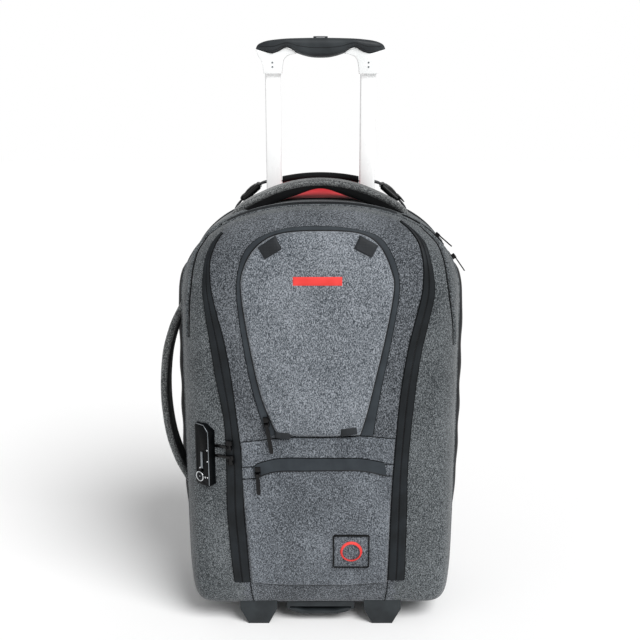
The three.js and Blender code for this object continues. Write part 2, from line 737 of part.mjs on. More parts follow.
function wheelBay(side) {
  const [x0, x1] = sideRange(side, HOUSING_IN - SEAM, HOUSING_OUT + SEAM);
  return prism(grow(housingProfile, SEAM), "x", x0, x1);
}

const wheelBays = join([-1, 1].map(wheelBay));

for (const [side, word] of [[-1, "left"], [1, "right"]]) {
  const [x0, x1] = sideRange(side, HOUSING_IN, HOUSING_OUT);
  const [w0, w1] = sideRange(side, HOUSING_IN + HOUSING_WALL, HOUSING_OUT - HOUSING_WALL);
  const well = rod(WHEEL_RADIUS + WHEEL_PLAY, w0, w1, WHEEL_Y, WHEEL_RADIUS, 24);
  const mouth = block(w0, w1, WHEEL_Y - WHEEL_RADIUS - WHEEL_PLAY, HOUSING_REAR + 9, -1, WHEEL_RADIUS);
  const axle = rod(AXLE_RADIUS, x0, x1, WHEEL_Y, WHEEL_RADIUS, 12);
  const housing = prism(housingProfile, "x", x0, x1).subtract(well).subtract(mouth).add(axle);
  add(`wheel_housing_${word}`, toGeometry(housing), COLOURS.plastic, 0.55, 0);

  const half = WHEEL_WIDTH / 2;
  const bore = AXLE_RADIUS + AXLE_PLAY;
  const section = [
    point(bore, -half), point(WHEEL_RADIUS * 0.62, -half), point(WHEEL_RADIUS * 0.68, -half + 3),
    point(WHEEL_RADIUS - 3, -half + 1.5), point(WHEEL_RADIUS, -half + 5), point(WHEEL_RADIUS, half - 5),
    point(WHEEL_RADIUS - 3, half - 1.5), point(WHEEL_RADIUS * 0.68, half - 3),
    point(WHEEL_RADIUS * 0.62, half), point(bore, half), point(bore, -half),
  ];
  const wheel = new THREE.LatheGeometry(section, 24);
  wheel.rotateZ(Math.PI / 2);
  const wheelMesh = add(`wheel_${word}`, toGeometry(toSolid(wheel)), COLOURS.rubber, 0.8, 0);
  wheelMesh.position.set(side * WHEEL_X, WHEEL_Y, WHEEL_RADIUS);

  const foot = [
    point(-FOOT_BOTTOM_WIDTH / 2, 0), point(FOOT_BOTTOM_WIDTH / 2, 0),
    point(FOOT_TOP_WIDTH / 2, BODY_BOTTOM), point(FOOT_TOP_WIDTH / 2, FOOT_HEIGHT),
    point(-FOOT_TOP_WIDTH / 2, FOOT_HEIGHT), point(-FOOT_TOP_WIDTH / 2, BODY_BOTTOM),
  ];
  const footOutline = inPlace(foot, side * FOOT_X, 0);
  const footSolid = prism(footOutline, "y", FOOT_Y - FOOT_DEPTH / 2, FOOT_Y + FOOT_DEPTH / 2)
    .subtract(faceAt(FRONT, SEAM));
  add(`foot_${word}`, toGeometry(footSolid), COLOURS.rubber, 0.7, 0);
}

const baseSolid = block(
  -HOUSING_IN + SEAM, HOUSING_IN - SEAM, BASE_FRONT, BASE_REAR,
  BODY_BOTTOM - SEAM - BASE_THICK, BODY_BOTTOM - SEAM);
add("base_plate", toGeometry(baseSolid), COLOURS.plastic, 0.7, 0);

const gripLoop = (drop, half) => [
  point(-half, BOTTOM_HANDLE_TOP), point(-half, BODY_BOTTOM - 1),
  point(-half * 0.8, drop + 3), point(-half * 0.5, drop),
  point(half * 0.5, drop), point(half * 0.8, drop + 3),
  point(half, BODY_BOTTOM - 1), point(half, BOTTOM_HANDLE_TOP),
];
const bottomHalf = BOTTOM_HANDLE_WIDTH / 2;
const bottomRange = [FOOT_Y - BOTTOM_HANDLE_DEPTH / 2, FOOT_Y + BOTTOM_HANDLE_DEPTH / 2];
const bottomHollow = gripLoop(BOTTOM_HANDLE_LOW + BOTTOM_HANDLE_THICK, bottomHalf - BOTTOM_HANDLE_THICK)
  .map((p) => point(p.x, p.y === BOTTOM_HANDLE_TOP ? p.y + 1 : p.y));
const bottomSolid = prism(gripLoop(BOTTOM_HANDLE_LOW, bottomHalf), "y", ...bottomRange)
  .subtract(prism(bottomHollow, "y", bottomRange[0] - 1, bottomRange[1] + 1));
const bottomShelf = block(
  -bottomHalf, bottomHalf, bottomRange[0], bottomRange[1], BODY_BOTTOM + 1, BOTTOM_HANDLE_TOP);
const bottomHandle = bottomSolid.add(bottomShelf).subtract(faceAt(FRONT, SEAM));
add("bottom_handle", toGeometry(bottomHandle), COLOURS.plastic, 0.7, 0);

// Lock: a chamfered case sunk into the shell, with a key cylinder and a release latch.
// Its own frame has Z standing out of the lock's face and Y up.

const lockSeat = skinAt(FRONT, 0, across(LOCK_ACROSS), up(LOCK_UP));
const lockOut = new THREE.Vector3(-Math.sin(LOCK_TURN), -Math.cos(LOCK_TURN), 0);
const lockPlace = lockSeat.place.clone().addScaledVector(lockOut, LOCK_PROUD);
const lockFrame = standing(lockPlace, lockOut, new THREE.Vector3(0, 0, -1));
const lockHalf = LOCK_WIDTH / 2;
const lockTall = LOCK_HEIGHT / 2;
const lockOutline = [
  point(-lockHalf, -lockTall + 2), point(-lockHalf + 2, -lockTall), point(lockHalf - 2, -lockTall),
  point(lockHalf, -lockTall + 2), point(lockHalf, lockTall - LOCK_CHAMFER),
  point(lockHalf - LOCK_CHAMFER, lockTall), point(-lockHalf + 3, lockTall), point(-lockHalf, lockTall - 3),
];
const keyX = -lockHalf + KEY_RADIUS + 1.6;
const keyY = -lockTall + KEY_RADIUS + 5;
const latchX = keyX + KEY_RADIUS - LATCH_WIDTH / 2 + 1;
const latchY = -LATCH_HEIGHT / 2 + LATCH_TRAVEL;

function disc(radius, x, y, z0, z1, sides) {
  const geometry = new THREE.CylinderGeometry(radius, radius, z1 - z0, sides);
  geometry.rotateX(Math.PI / 2);
  geometry.translate(x, y, (z0 + z1) / 2);
  return toSolid(geometry);
}

const lockLocal = prism(lockOutline, "z", -LOCK_DEPTH, 0)
  .subtract(disc(KEY_RADIUS + LOCK_PLAY, keyX, keyY, -KEY_DEPTH - LOCK_PLAY, 5, 20))
  .subtract(block(
    latchX - LATCH_WIDTH / 2 - LOCK_PLAY, latchX + LATCH_WIDTH / 2 + LOCK_PLAY,
    latchY - LATCH_HEIGHT / 2 - LATCH_TRAVEL - LOCK_PLAY, latchY + LATCH_HEIGHT / 2 + LOCK_PLAY,
    -KEY_DEPTH - LOCK_PLAY, 5));
addAt("lock_housing", toGeometry(lockLocal), lockFrame, COLOURS.gloss, 0.2, 0.1);
const keySlot = block(-0.6, 0.6, -KEY_RADIUS * 0.6, KEY_RADIUS * 0.6, KEY_PROUD - 1.5, KEY_PROUD + 1);
const keySolid = disc(KEY_RADIUS, 0, 0, -KEY_DEPTH, KEY_PROUD, 20).subtract(keySlot);
const keyFrame = lockFrame.clone().multiply(new THREE.Matrix4().makeTranslation(keyX, keyY, 0));
addAt("lock_cylinder", toGeometry(keySolid), keyFrame, COLOURS.silver, 0.25, 0.9);
const latchSolid = block(
  -LATCH_WIDTH / 2, LATCH_WIDTH / 2, -LATCH_HEIGHT / 2, LATCH_HEIGHT / 2, -KEY_DEPTH, LATCH_PROUD);
const latchFrame = lockFrame.clone().multiply(new THREE.Matrix4().makeTranslation(latchX, latchY, 0));
addAt("lock_latch", toGeometry(latchSolid), latchFrame, COLOURS.silver, 0.4, 0.7);

function lockForm(spare) {
  const form = prism(grow(lockOutline, spare), "z", -LOCK_DEPTH - spare, spare);
  return toSolid(toGeometry(form).applyMatrix4(lockFrame));
}

const lockBay = lockForm(SEAM);

// Body shells

const gussetRing = bodySlice(0, -HALF_DEPTH + SEAM, HALF_DEPTH - SEAM)
  .subtract(bodySlice(-WALL, -HALF_DEPTH - 1, HALF_DEPTH + 1))
  .subtract(trolleyCut)
  .subtract(wheelBays);
add("gusset", toGeometry(gussetRing), COLOURS.heather);
const frontShell = face(FRONT, 0, 0).subtract(faceAt(FRONT, -WALL)).subtract(lockBay);
add("front_shell", toGeometry(frontShell), COLOURS.heather);
const backShell = face(BACK, 0, 0).subtract(faceAt(BACK, -WALL)).subtract(wheelBays);
add("back_shell", toGeometry(backShell), COLOURS.black);

// Front panels and zips

const archOuter = smooth(onBody(ARCH_OUTER), 34);
const archInner = smooth(onBody(ARCH_INNER), 34);
const panelTop = SEAM + PANEL_THICK;
const zipTop = SEAM + ZIP_THICK;
const archBand = prism(archOuter, "y", -HALF_DEPTH + DEEP / 2, -HALF_WIDTH)
  .subtract(prism(archInner, "y", -HALF_DEPTH + DEEP, -HALF_WIDTH - DEEP));
const zipBand = faceAt(FRONT, zipTop).intersect(archBand).subtract(faceAt(FRONT, SEAM));
add("front_pocket_zip", toGeometry(zipBand), COLOURS.zip, 0.7, 0);
const archPanel = applied(FRONT, grow(archInner, -SEAM), SEAM, panelTop);
add("front_pocket", toGeometry(archPanel), COLOURS.lightHeather);

const lowerOutline = onBody(LOWER_EDGE);
const lowerZipOutline = onBody(LOWER_ZIP);
const lowerTop = SEAM + LOWER_THICK;
const archCut = prism(grow(archOuter, SEAM), "y", 0, -2 * HALF_WIDTH);
const lowerCloth = applied(FRONT, lowerOutline, SEAM, lowerTop)
  .subtract(prism(grow(lowerZipOutline, SEAM), "y", 0, -2 * HALF_WIDTH))
  .subtract(archCut);
add("lower_pocket", toGeometry(lowerCloth), COLOURS.heather);
const lowerZip = applied(FRONT, lowerZipOutline, SEAM, LOWER_ZIP_TOP);
add("lower_pocket_zip", toGeometry(lowerZip), COLOURS.zip, 0.7, 0);

const bandOutline = (rows, side) => {
  const outer = smooth(rows.map((row) => point(side * across(row.outer), up(row.up))), 20);
  const inner = smooth(rows.map((row) => point(side * across(row.inner), up(row.up))), 20);
  return [...outer, ...inner.reverse()];
};
const leftBand = bandOutline(LEFT_ZIP, -1);
const rightBand = bandOutline(RIGHT_ZIP, 1);
const bandCut = prism(grow(lowerOutline, SEAM), "y", 0, -2 * HALF_WIDTH);
const leftZip = applied(FRONT, leftBand, SEAM, zipTop).subtract(bandCut);
add("main_zip_left", toGeometry(leftZip), COLOURS.zip, 0.7, 0);
const rightZip = applied(FRONT, rightBand, SEAM, zipTop).subtract(bandCut);
add("main_zip_right", toGeometry(rightZip), COLOURS.zip, 0.7, 0);

const topZipRear = TOP_HANDLE_Y - HANDLE_WIDTH / 2 - 2;
const topZip = bodySlice(zipTop, TOP_ZIP_FRONT, topZipRear)
  .subtract(bodySlice(SEAM, -HALF_DEPTH, HALF_DEPTH))
  .intersect(block(across(-0.66), across(0.54), -HALF_DEPTH, 0, up(0.93), BODY_TOP + DEEP));
add("main_zip_top", toGeometry(topZip), COLOURS.zip, 0.7, 0);

// Webbing loops sit over the arch band and the panel, each cut to what it covers.
const loopFloor = join([
  faceAt(FRONT, SEAM),
  faceAt(FRONT, zipTop + SEAM).intersect(prism(grow(archOuter, SEAM), "y", 0, -2 * HALF_WIDTH)),
  faceAt(FRONT, panelTop + SEAM).intersect(prism(archInner, "y", 0, -2 * HALF_WIDTH)),
  faceAt(FRONT, lowerTop + SEAM).intersect(prism(grow(lowerOutline, SEAM), "y", 0, -2 * HALF_WIDTH)),
]);
for (const loop of LOOPS) {
  const outline = roundedRectangle(loop.wide, loop.tall, 1.5, 1)
    .map((p) => p.rotateAround(point(0, 0), THREE.MathUtils.degToRad(loop.turn)));
  const placed = inPlace(outline, across(loop.across), up(loop.up));
  const solid = faceAt(FRONT, panelTop + SEAM + LOOP_THICK)
    .intersect(prism(placed, "y", 0, -2 * HALF_WIDTH))
    .subtract(loopFloor);
  add(loop.name, toGeometry(solid), COLOURS.plastic, 0.8, 0);
}

const patchSquare = roundedRectangle(PATCH_SIZE, PATCH_SIZE, 1.5, 1);
const patchOutline = inPlace(patchSquare, across(PATCH_ACROSS), up(PATCH_UP));
const patchFloor = lowerTop + SEAM;
const patch = applied(FRONT, patchOutline, patchFloor, patchFloor + PATCH_THICK);
add("patch", toGeometry(patch), COLOURS.darkHeather);

// Carrying handles, each a bent pad with a lining under it

function strapBetween(line, from, to) {
  const shift = (p, amount) => point(p.x, p.y - amount);
  return [...line.map((p) => shift(p, from)), ...[...line].reverse().map((p) => shift(p, to))];
}

const topCurve = smooth([
  ...[...HANDLE_LINE].reverse().slice(0, -1).map((row) => (
    point(-row.along * TOP_HANDLE_SPAN, BODY_TOP + row.lift * TOP_HANDLE_LIFT))),
  ...HANDLE_LINE.map((row) => point(row.along * TOP_HANDLE_SPAN, BODY_TOP + row.lift * TOP_HANDLE_LIFT)),
], 24);
const topY = [TOP_HANDLE_Y - HANDLE_WIDTH / 2, TOP_HANDLE_Y + HANDLE_WIDTH / 2];
const padThick = HANDLE_THICK - LINING_THICK;
const bodyKeepOut = bodySlice(SEAM, -HALF_DEPTH, HALF_DEPTH);
const topPad = prism(strapBetween(topCurve, 0, padThick), "y", ...topY).subtract(bodyKeepOut);
const topLining = prism(
  strapBetween(topCurve, padThick + SEAM, HANDLE_THICK), "y", topY[0] + 3, topY[1] - 3)
  .subtract(bodyKeepOut);
add("top_handle", toGeometry(topPad), COLOURS.lightHeather);
add("top_handle_lining", toGeometry(topLining), COLOURS.black);

const sideHalf = SIDE_HANDLE_LENGTH / 2;
const sideCurve = smooth([
  ...[...SIDE_HANDLE_LINE].reverse().slice(0, -1).map((row) => (
    point(-row.along * sideHalf, row.lift * SIDE_HANDLE_REACH))),
  ...SIDE_HANDLE_LINE.map((row) => point(row.along * sideHalf, row.lift * SIDE_HANDLE_REACH)),
], 24);
const sideY = [SIDE_HANDLE_Y - SIDE_HANDLE_WIDTH / 2, SIDE_HANDLE_Y + SIDE_HANDLE_WIDTH / 2];
const turnSideways = (outline) => outline.map((p) => point(-HALF_WIDTH - p.y, SIDE_HANDLE_MIDDLE + p.x));
const sidePad = prism(turnSideways(strapBetween(sideCurve, 0, padThick)), "y", ...sideY)
  .subtract(bodyKeepOut);
const sideLining = prism(
  turnSideways(strapBetween(sideCurve, padThick + SEAM, HANDLE_THICK)), "y", sideY[0] + 3, sideY[1] - 3)
  .subtract(bodyKeepOut);
add("side_handle", toGeometry(sidePad), COLOURS.lightHeather);
add("side_handle_lining", toGeometry(sideLining), COLOURS.black);

// Side pockets: thin bowls open towards the gusset

function pocketForm(side, inset) {
  const line = POCKET_LINE.map((row) => point(
    HALF_WIDTH + SEAM + row.out * POCKET_REACH, POCKET_BOTTOM + row.up * POCKET_HEIGHT));
  const front = inset > 0 ? grow(line, -inset) : line;
  const middle = (POCKET_FRONT + POCKET_REAR) / 2;
  const half = (POCKET_REAR - POCKET_FRONT) / 2;
  const plan = [
    point(HALF_WIDTH + SEAM, middle - half), point(HALF_WIDTH + POCKET_REACH * 0.62, middle - half * 0.9),
    point(HALF_WIDTH + POCKET_REACH + 2, middle - half * 0.4),
    point(HALF_WIDTH + POCKET_REACH + 2, middle + half * 0.4),
    point(HALF_WIDTH + POCKET_REACH * 0.62, middle + half * 0.9), point(HALF_WIDTH + SEAM, middle + half),
  ];
  const above = inset > 0 ? grow(plan, -inset) : plan;
  const root = HALF_WIDTH - DEEP - inset;
  const open = (outline) => outline.map((p) => point(
    side * (p.x < HALF_WIDTH + SEAM + inset + 0.5 ? root : p.x), p.y));
  return prism(open(front), "y", POCKET_FRONT - 1, POCKET_REAR + 1)
    .intersect(prism(open(above), "z", POCKET_BOTTOM - 1, POCKET_BOTTOM + POCKET_HEIGHT + 1));
}

for (const [side, word] of [[-1, "left"], [1, "right"]]) {
  const pocket = pocketForm(side, 0)
    .subtract(pocketForm(side, POCKET_WALL))
    .subtract(bodySlice(SEAM, -HALF_DEPTH, HALF_DEPTH));
  add(`side_pocket_${word}`, toGeometry(pocket), COLOURS.black);
}

// Harness: back pad, yoke, straps and load lifters

const padShape = roundedRectangle(PAD_WIDTH, PAD_TOP - PAD_BOTTOM, PAD_CORNER, 4);
const padOutline = inPlace(padShape, 0, (PAD_TOP + PAD_BOTTOM) / 2);
add("back_pad", toGeometry(applied(BACK, padOutline, SEAM, SEAM + PAD_THICK)), COLOURS.black);

const backSkin = HALF_DEPTH + BACK.rise + BACK.belly;
const padSkin = backSkin + SEAM + PAD_THICK;
const yokeLow = PAD_TOP + 5;
const yokeProfile = [
  point(YOKE_FRONT, BODY_TOP - 4), point(YOKE_FRONT, BODY_TOP + YOKE_THICK),
  point(HALF_DEPTH - 6, BODY_TOP + YOKE_THICK), point(HALF_DEPTH + 8, YOKE_TOP - 8),
  point(HALF_DEPTH + 13, YOKE_TOP), point(HALF_DEPTH + 21, YOKE_TOP),
  point(padSkin - 4, BODY_TOP + 6), point(padSkin + 3, yokeLow + 16), point(padSkin + 2, yokeLow),
  point(backSkin - 12, yokeLow), point(HALF_DEPTH - 4, BODY_TOP - 8),
];
const rimCurve = (drop, half) => new THREE.SplineCurve([
  point(half, YOKE_TOP - YOKE_SIDE_DROP - drop),
  point(half * 0.55, YOKE_TOP - YOKE_SIDE_DROP * 0.35 - drop),
  point(0, YOKE_TOP - drop),
  point(-half * 0.55, YOKE_TOP - YOKE_SIDE_DROP * 0.35 - drop),
  point(-half, YOKE_TOP - YOKE_SIDE_DROP - drop),
]).getPoints(10);
const under = (line, low) => [...line, point(line[line.length - 1].x, low), point(line[0].x, low)];
const yokeHalf = YOKE_WIDTH / 2;
const tubeClear = join([-1, 1].map((side) => {
  const [x0, x1] = sideRange(side, TUBE_X - FLANGE_WIDTH / 2 - SEAM, HALF_WIDTH);
  return block(x0, x1, YOKE_FRONT - 1, TUBE_Y + FLANGE_DEPTH / 2 + SEAM, 0, GRIP_TOP);
}));
const yokeWhole = prism(yokeProfile, "x", -yokeHalf, yokeHalf)
  .subtract(bodySlice(SEAM, -HALF_DEPTH, HALF_DEPTH + SEAM))
  .subtract(faceAt(BACK, SEAM))
  .subtract(tubeClear);
const redRegion = prism(under(rimCurve(YOKE_RIM, yokeHalf), 0), "y", -HALF_DEPTH, 3 * HALF_DEPTH);
const belowRim = rimCurve(YOKE_RIM - SEAM, yokeHalf + 1);
const rimRegion = prism(under(rimCurve(0, yokeHalf), 0), "y", -HALF_DEPTH, 3 * HALF_DEPTH)
  .subtract(prism(under(belowRim, -1), "y", -HALF_DEPTH - 1, 3 * HALF_DEPTH + 1));
add("yoke", toGeometry(yokeWhole.intersect(redRegion)), COLOURS.red);
add("yoke_binding", toGeometry(yokeWhole.intersect(rimRegion)), COLOURS.black);

// A flat band of one thickness along a line of points, wide along X.
function bandProfile(line, thick) {
  const offset = line.map((here, i) => {
    const before = line[Math.max(0, i - 1)];
    const after = line[Math.min(line.length - 1, i + 1)];
    const along = after.clone().sub(before).normalize();
    return { here, normal: point(along.y, -along.x) };
  });
  const near = offset.map(({ here, normal }) => here.clone().addScaledVector(normal, thick / 2));
  const far = offset.map(({ here, normal }) => here.clone().addScaledVector(normal, -thick / 2));
  return [...near, ...far.reverse()];
}

const strapStart = padSkin + STRAP_THICK / 2 + 1;
const strapLength = STRAP_TOP - STRAP_BOTTOM;
const strapLine = smooth(STRAP_LINE.map((row) => (
  point(strapStart + row.out * STRAP_BOW, STRAP_TOP - row.down * strapLength))), 14);
const strapEnd = strapLine[strapLine.length - 1];
const webLine = [
  point(strapEnd.x, strapEnd.y + 10),
  point(strapEnd.x - 3, STRAP_BOTTOM - 60),
  point(padSkin + 1, PAD_BOTTOM + 4),
  point(backSkin - 3, WEB_FOOT),
];
const padKeepOut = applied(BACK, grow(padOutline, SEAM), SEAM, 2 * SEAM + PAD_THICK);
const backKeepOut = join([faceAt(BACK, SEAM), padKeepOut]);
const yokeKeepOut = prism(grow(yokeProfile, SEAM), "x", -yokeHalf - SEAM, yokeHalf + SEAM);

for (const [side, word] of [[-1, "left"], [1, "right"]]) {
  const centre = side * STRAP_X;
  const strapBody = prism(
    bandProfile(strapLine, STRAP_THICK), "x", centre - STRAP_WIDTH / 2, centre + STRAP_WIDTH / 2);
  const web = prism(bandProfile(webLine, WEB_THICK), "x", centre - WEB_WIDTH / 2, centre + WEB_WIDTH / 2);
  const anchor = block(
    centre - STRAP_WIDTH / 2, centre + STRAP_WIDTH / 2,
    HALF_DEPTH + BACK.rise / 2, strapStart, PAD_TOP + 3, STRAP_TOP + 4);
  const strap = join([strapBody, web, anchor]).subtract(backKeepOut).subtract(yokeKeepOut);
  add(`shoulder_strap_${word}`, toGeometry(strap), COLOURS.black);

  const start = point(side * (yokeHalf + SEAM), YOKE_TOP - YOKE_SIDE_DROP - 5);
  const lifterLine = LIFTER_LINE.map((row) => point(side * across(row.across), BODY_TOP + row.above));
  const [bend, end] = lifterLine;
  const lifterWeb = prism(
    bandProfile([start, ...lifterLine], WEB_THICK),
    "y", LIFTER_Y - LIFTER_WIDTH / 2, LIFTER_Y + LIFTER_WIDTH / 2);
  const lean = Math.atan2(end.y - bend.y, end.x - bend.x);
  const middle = bend.clone().lerp(end, LADDER_PLACE);
  const ladder = roundedRectangle(LADDER_LENGTH, LADDER_THICK, 1.5, 1).map((p) => (
    p.rotateAround(point(0, 0), lean).add(middle)));
  const buckle = prism(ladder, "y", LIFTER_Y - LADDER_WIDTH / 2, LIFTER_Y + LADDER_WIDTH / 2);
  const lifter = lifterWeb.add(buckle)
    .subtract(bodySlice(SEAM, -HALF_DEPTH, HALF_DEPTH + SEAM))
    .subtract(faceAt(BACK, SEAM))
    .subtract(block(
      side * TUBE_X - FLANGE_WIDTH / 2 - SEAM, side * TUBE_X + FLANGE_WIDTH / 2 + SEAM,
      0, TUBE_Y + FLANGE_DEPTH / 2 + SEAM, 0, GRIP_TOP));
  add(`load_lifter_${word}`, toGeometry(lifter), COLOURS.plastic, 0.6, 0);
}

// Zip sliders with their pulls

const pivotY = -SLIDER_LENGTH / 2 + EAR_THICK + PIVOT_RADIUS;
const pivotZ = SLIDER_BASE + EAR_HEIGHT - PIVOT_RADIUS;
const earInner = SLIDER_WIDTH / 2 - EAR_THICK;

function sliderSolid() {
  const halfLength = SLIDER_LENGTH / 2;
  const base = block(-SLIDER_WIDTH / 2, SLIDER_WIDTH / 2, -halfLength, halfLength, SEAM, SLIDER_BASE);
  const ears = [-1, 1].map((side) => {
    const [x0, x1] = sideRange(side, earInner, SLIDER_WIDTH / 2);
    const y1 = pivotY + PIVOT_RADIUS + EAR_THICK;
    return block(x0, x1, -halfLength, y1, SLIDER_BASE - 1, SLIDER_BASE + EAR_HEIGHT);
  });
  return join([base, ...ears]);
}

function pullSolid(length) {
  const half = earInner - PIVOT_PLAY;
  const clear = SLIDER_LENGTH / 2 + pivotY + PIVOT_PLAY + EAR_THICK + 1.2;
  const outline = [
    point(half, 0), point(half, -clear),
    point(PULL_WIDTH / 2, -clear - 2), point(PULL_WIDTH / 2, -length + 2),
    point(PULL_WIDTH / 4, -length), point(-PULL_WIDTH / 4, -length), point(-PULL_WIDTH / 2, -length + 2),
    point(-PULL_WIDTH / 2, -clear - 2), point(-half, -clear), point(-half, 0),
  ];
  const plate = prism(outline, "z", -PULL_THICK / 2, PULL_THICK / 2);
  return rod(PIVOT_RADIUS, -half, half, 0, 0, 10).add(plate);
}

function addSlider(name, frame) {
  return addAt(`${name}_slider`, toGeometry(sliderSolid()), frame, COLOURS.gloss, 0.35, 0.6);
}

function addPull(name, frame, length) {
  const pivot = frame.clone().multiply(new THREE.Matrix4().makeTranslation(0, pivotY, pivotZ));
  return addAt(`${name}_pull`, toGeometry(pullSolid(length)), pivot, COLOURS.gloss, 0.35, 0.6);
}

const frontPocketSeat = skinAt(FRONT, zipTop, across(-0.385), up(0.5121));
const frontPocketDown = new THREE.Vector3(0.16, 0, -1);
const frontPocketFrame = standing(frontPocketSeat.place, frontPocketSeat.normal, frontPocketDown);
addSlider("front_pocket", frontPocketFrame);
addPull("front_pocket", frontPocketFrame, 36);
const lowerSeat = skinAt(FRONT, LOWER_ZIP_TOP, across(-0.452), up(0.3879));
const lowerFrame = standing(lowerSeat.place, lowerSeat.normal, new THREE.Vector3(0.04, 0, -1));
addSlider("lower_pocket", lowerFrame);
addPull("lower_pocket", lowerFrame, 26);

// Two more sliders sit on the side wall, on the right shoulder.
function gussetSeat(x, y) {
  const outline = bodyOutline(0).filter((p) => p.y > BODY_TOP / 2 && p.x > 0).sort((a, b) => a.x - b.x);
  const index = outline.findIndex((p) => p.x > x);
  const [a, b] = [outline[index - 1], outline[index]];
  const share = (x - a.x) / (b.x - a.x);
  const along = b.clone().sub(a).normalize();
  return {
    place: new THREE.Vector3(x, y, a.y + (b.y - a.y) * share),
    normal: new THREE.Vector3(-along.y, 0, along.x),
    down: new THREE.Vector3(along.x, 0, along.y),
  };
}

const REAR_SLIDERS = [
  { name: "rear_upper", across: 0.812, y: -38 },
  { name: "rear_lower", across: 0.934, y: -38 },
];
for (const row of REAR_SLIDERS) {
  const seat = gussetSeat(across(row.across), row.y);
  const frame = standing(seat.place, seat.normal, seat.down);
  addSlider(row.name, frame);
  addPull(row.name, frame, 22);
}

// The two main sliders, whose pull ends are held in the lock.
const MAIN_SLIDERS = [
  { name: "main_upper", across: -0.655, up: 0.4505, bar: 0.4454 },
  { name: "main_lower", across: -0.648, up: 0.4131, bar: 0.4202 },
];
const mainKeepOut = join([
  faceAt(FRONT, SEAM),
  faceAt(FRONT, zipTop + SEAM).intersect(prism(grow(leftBand, SEAM), "y", 0, -2 * HALF_WIDTH)),
]);
for (const row of MAIN_SLIDERS) {
  const seat = skinAt(FRONT, zipTop, across(row.across), up(row.up));
  const frame = standing(seat.place, seat.normal, new THREE.Vector3(0, 0, -1));
  const body = toSolid(toGeometry(sliderSolid()).applyMatrix4(frame));
  const barZ = up(row.bar);
  const tip = lockPlace.clone().setZ(barZ).addScaledVector(lockOut, -6);
  const from = seat.place.clone().setZ(barZ).addScaledVector(seat.normal, SLIDER_BASE);
  const length = tip.distanceTo(from);
  const bar = new THREE.BoxGeometry(length, 2.4, 3);
  const spin = Math.atan2(tip.y - from.y, tip.x - from.x);
  bar.rotateZ(spin);
  bar.translate((tip.x + from.x) / 2, (tip.y + from.y) / 2, barZ);
  const whole = body.add(toSolid(bar)).subtract(mainKeepOut).subtract(lockBay);
  add(`${row.name}_slider`, toGeometry(whole), COLOURS.gloss, 0.3, 0.5);
}

// The part's own origin is the middle of its footprint, on the floor.
const bounds = new THREE.Box3().setFromObject(bag, true);
const centre = bounds.getCenter(new THREE.Vector3());
bag.position.set(-centre.x, -centre.y, -bounds.min.z);

export default bag;
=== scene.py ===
"""Dresses the packed frame of a carry-on wheeled backpack: melange cloth, zips, lock, trolley, wheels and harness.

Shapes are worked out in millimetres about the middle of the bag and set into the frame in metres.
"""

import math

import bmesh
import bpy
from bpy.props import FloatProperty, FloatVectorProperty, IntProperty, PointerProperty
from mathutils import Matrix, Vector, noise


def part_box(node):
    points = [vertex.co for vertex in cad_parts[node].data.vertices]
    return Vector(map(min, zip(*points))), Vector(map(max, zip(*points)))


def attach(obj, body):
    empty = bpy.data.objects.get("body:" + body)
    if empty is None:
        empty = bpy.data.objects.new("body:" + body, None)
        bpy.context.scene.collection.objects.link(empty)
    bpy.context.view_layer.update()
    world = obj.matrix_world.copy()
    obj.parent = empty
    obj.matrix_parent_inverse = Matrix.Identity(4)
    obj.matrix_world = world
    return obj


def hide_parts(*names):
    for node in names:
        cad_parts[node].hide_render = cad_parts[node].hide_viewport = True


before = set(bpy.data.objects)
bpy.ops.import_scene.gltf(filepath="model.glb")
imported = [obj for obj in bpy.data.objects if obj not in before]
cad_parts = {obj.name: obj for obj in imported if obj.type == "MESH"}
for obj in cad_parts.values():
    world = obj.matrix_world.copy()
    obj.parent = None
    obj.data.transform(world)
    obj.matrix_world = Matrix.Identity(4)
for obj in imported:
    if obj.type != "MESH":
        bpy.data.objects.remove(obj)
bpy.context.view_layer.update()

bl_info = {
    "name": "Wheeled backpack dresser",
    "version": (1, 0, 0),
    "blender": (4, 5, 0),
    "location": "View3D > Sidebar > Backpack",
    "description": "Builds the cloth, zips, lock, trolley and wheels of a wheeled backpack on its packed frame",
    "category": "Object",
}

MM = 0.001

# The body's outline and swell, in millimetres
HALF_WIDTH = 162.0
HALF_DEPTH = 52.5
BODY_BOTTOM = 20.0
BODY_HEIGHT = 496.0
BODY_TOP = BODY_BOTTOM + BODY_HEIGHT
ARCH_RISE = 111.0
ARCH_START = BODY_TOP - ARCH_RISE
SIDE_HEIGHT = ARCH_START - BODY_BOTTOM
ARCH_POWER = 2.35
CORNER_POWER = 22.0
SIDE_BOW = 0.8
BELLY_REACH = 100.0
CROWN_CENTRE = ARCH_START - (SIDE_HEIGHT - ARCH_RISE) / 2
FRONT = {"side": -1, "roll": 36.0, "low_roll": 14.0, "rise": 36.0, "belly": 16.0, "crown": 5.0}
BACK = {"side": 1, "roll": 16.0, "low_roll": 12.0, "rise": 16.0, "belly": 5.0, "crown": 0.0}
ARCH_SHARE = 0.42
LOWER_FINE = 600
TURN_WEIGHT = 60.0
LOWER_LINES = {}
RIPPLES = ({"size": 85.0, "height": 0.8}, {"size": 27.0, "height": 0.22})

# Heights of the layers above the shell
PANEL_HEIGHT = 5.6
LOWER_HEIGHT = 3.1

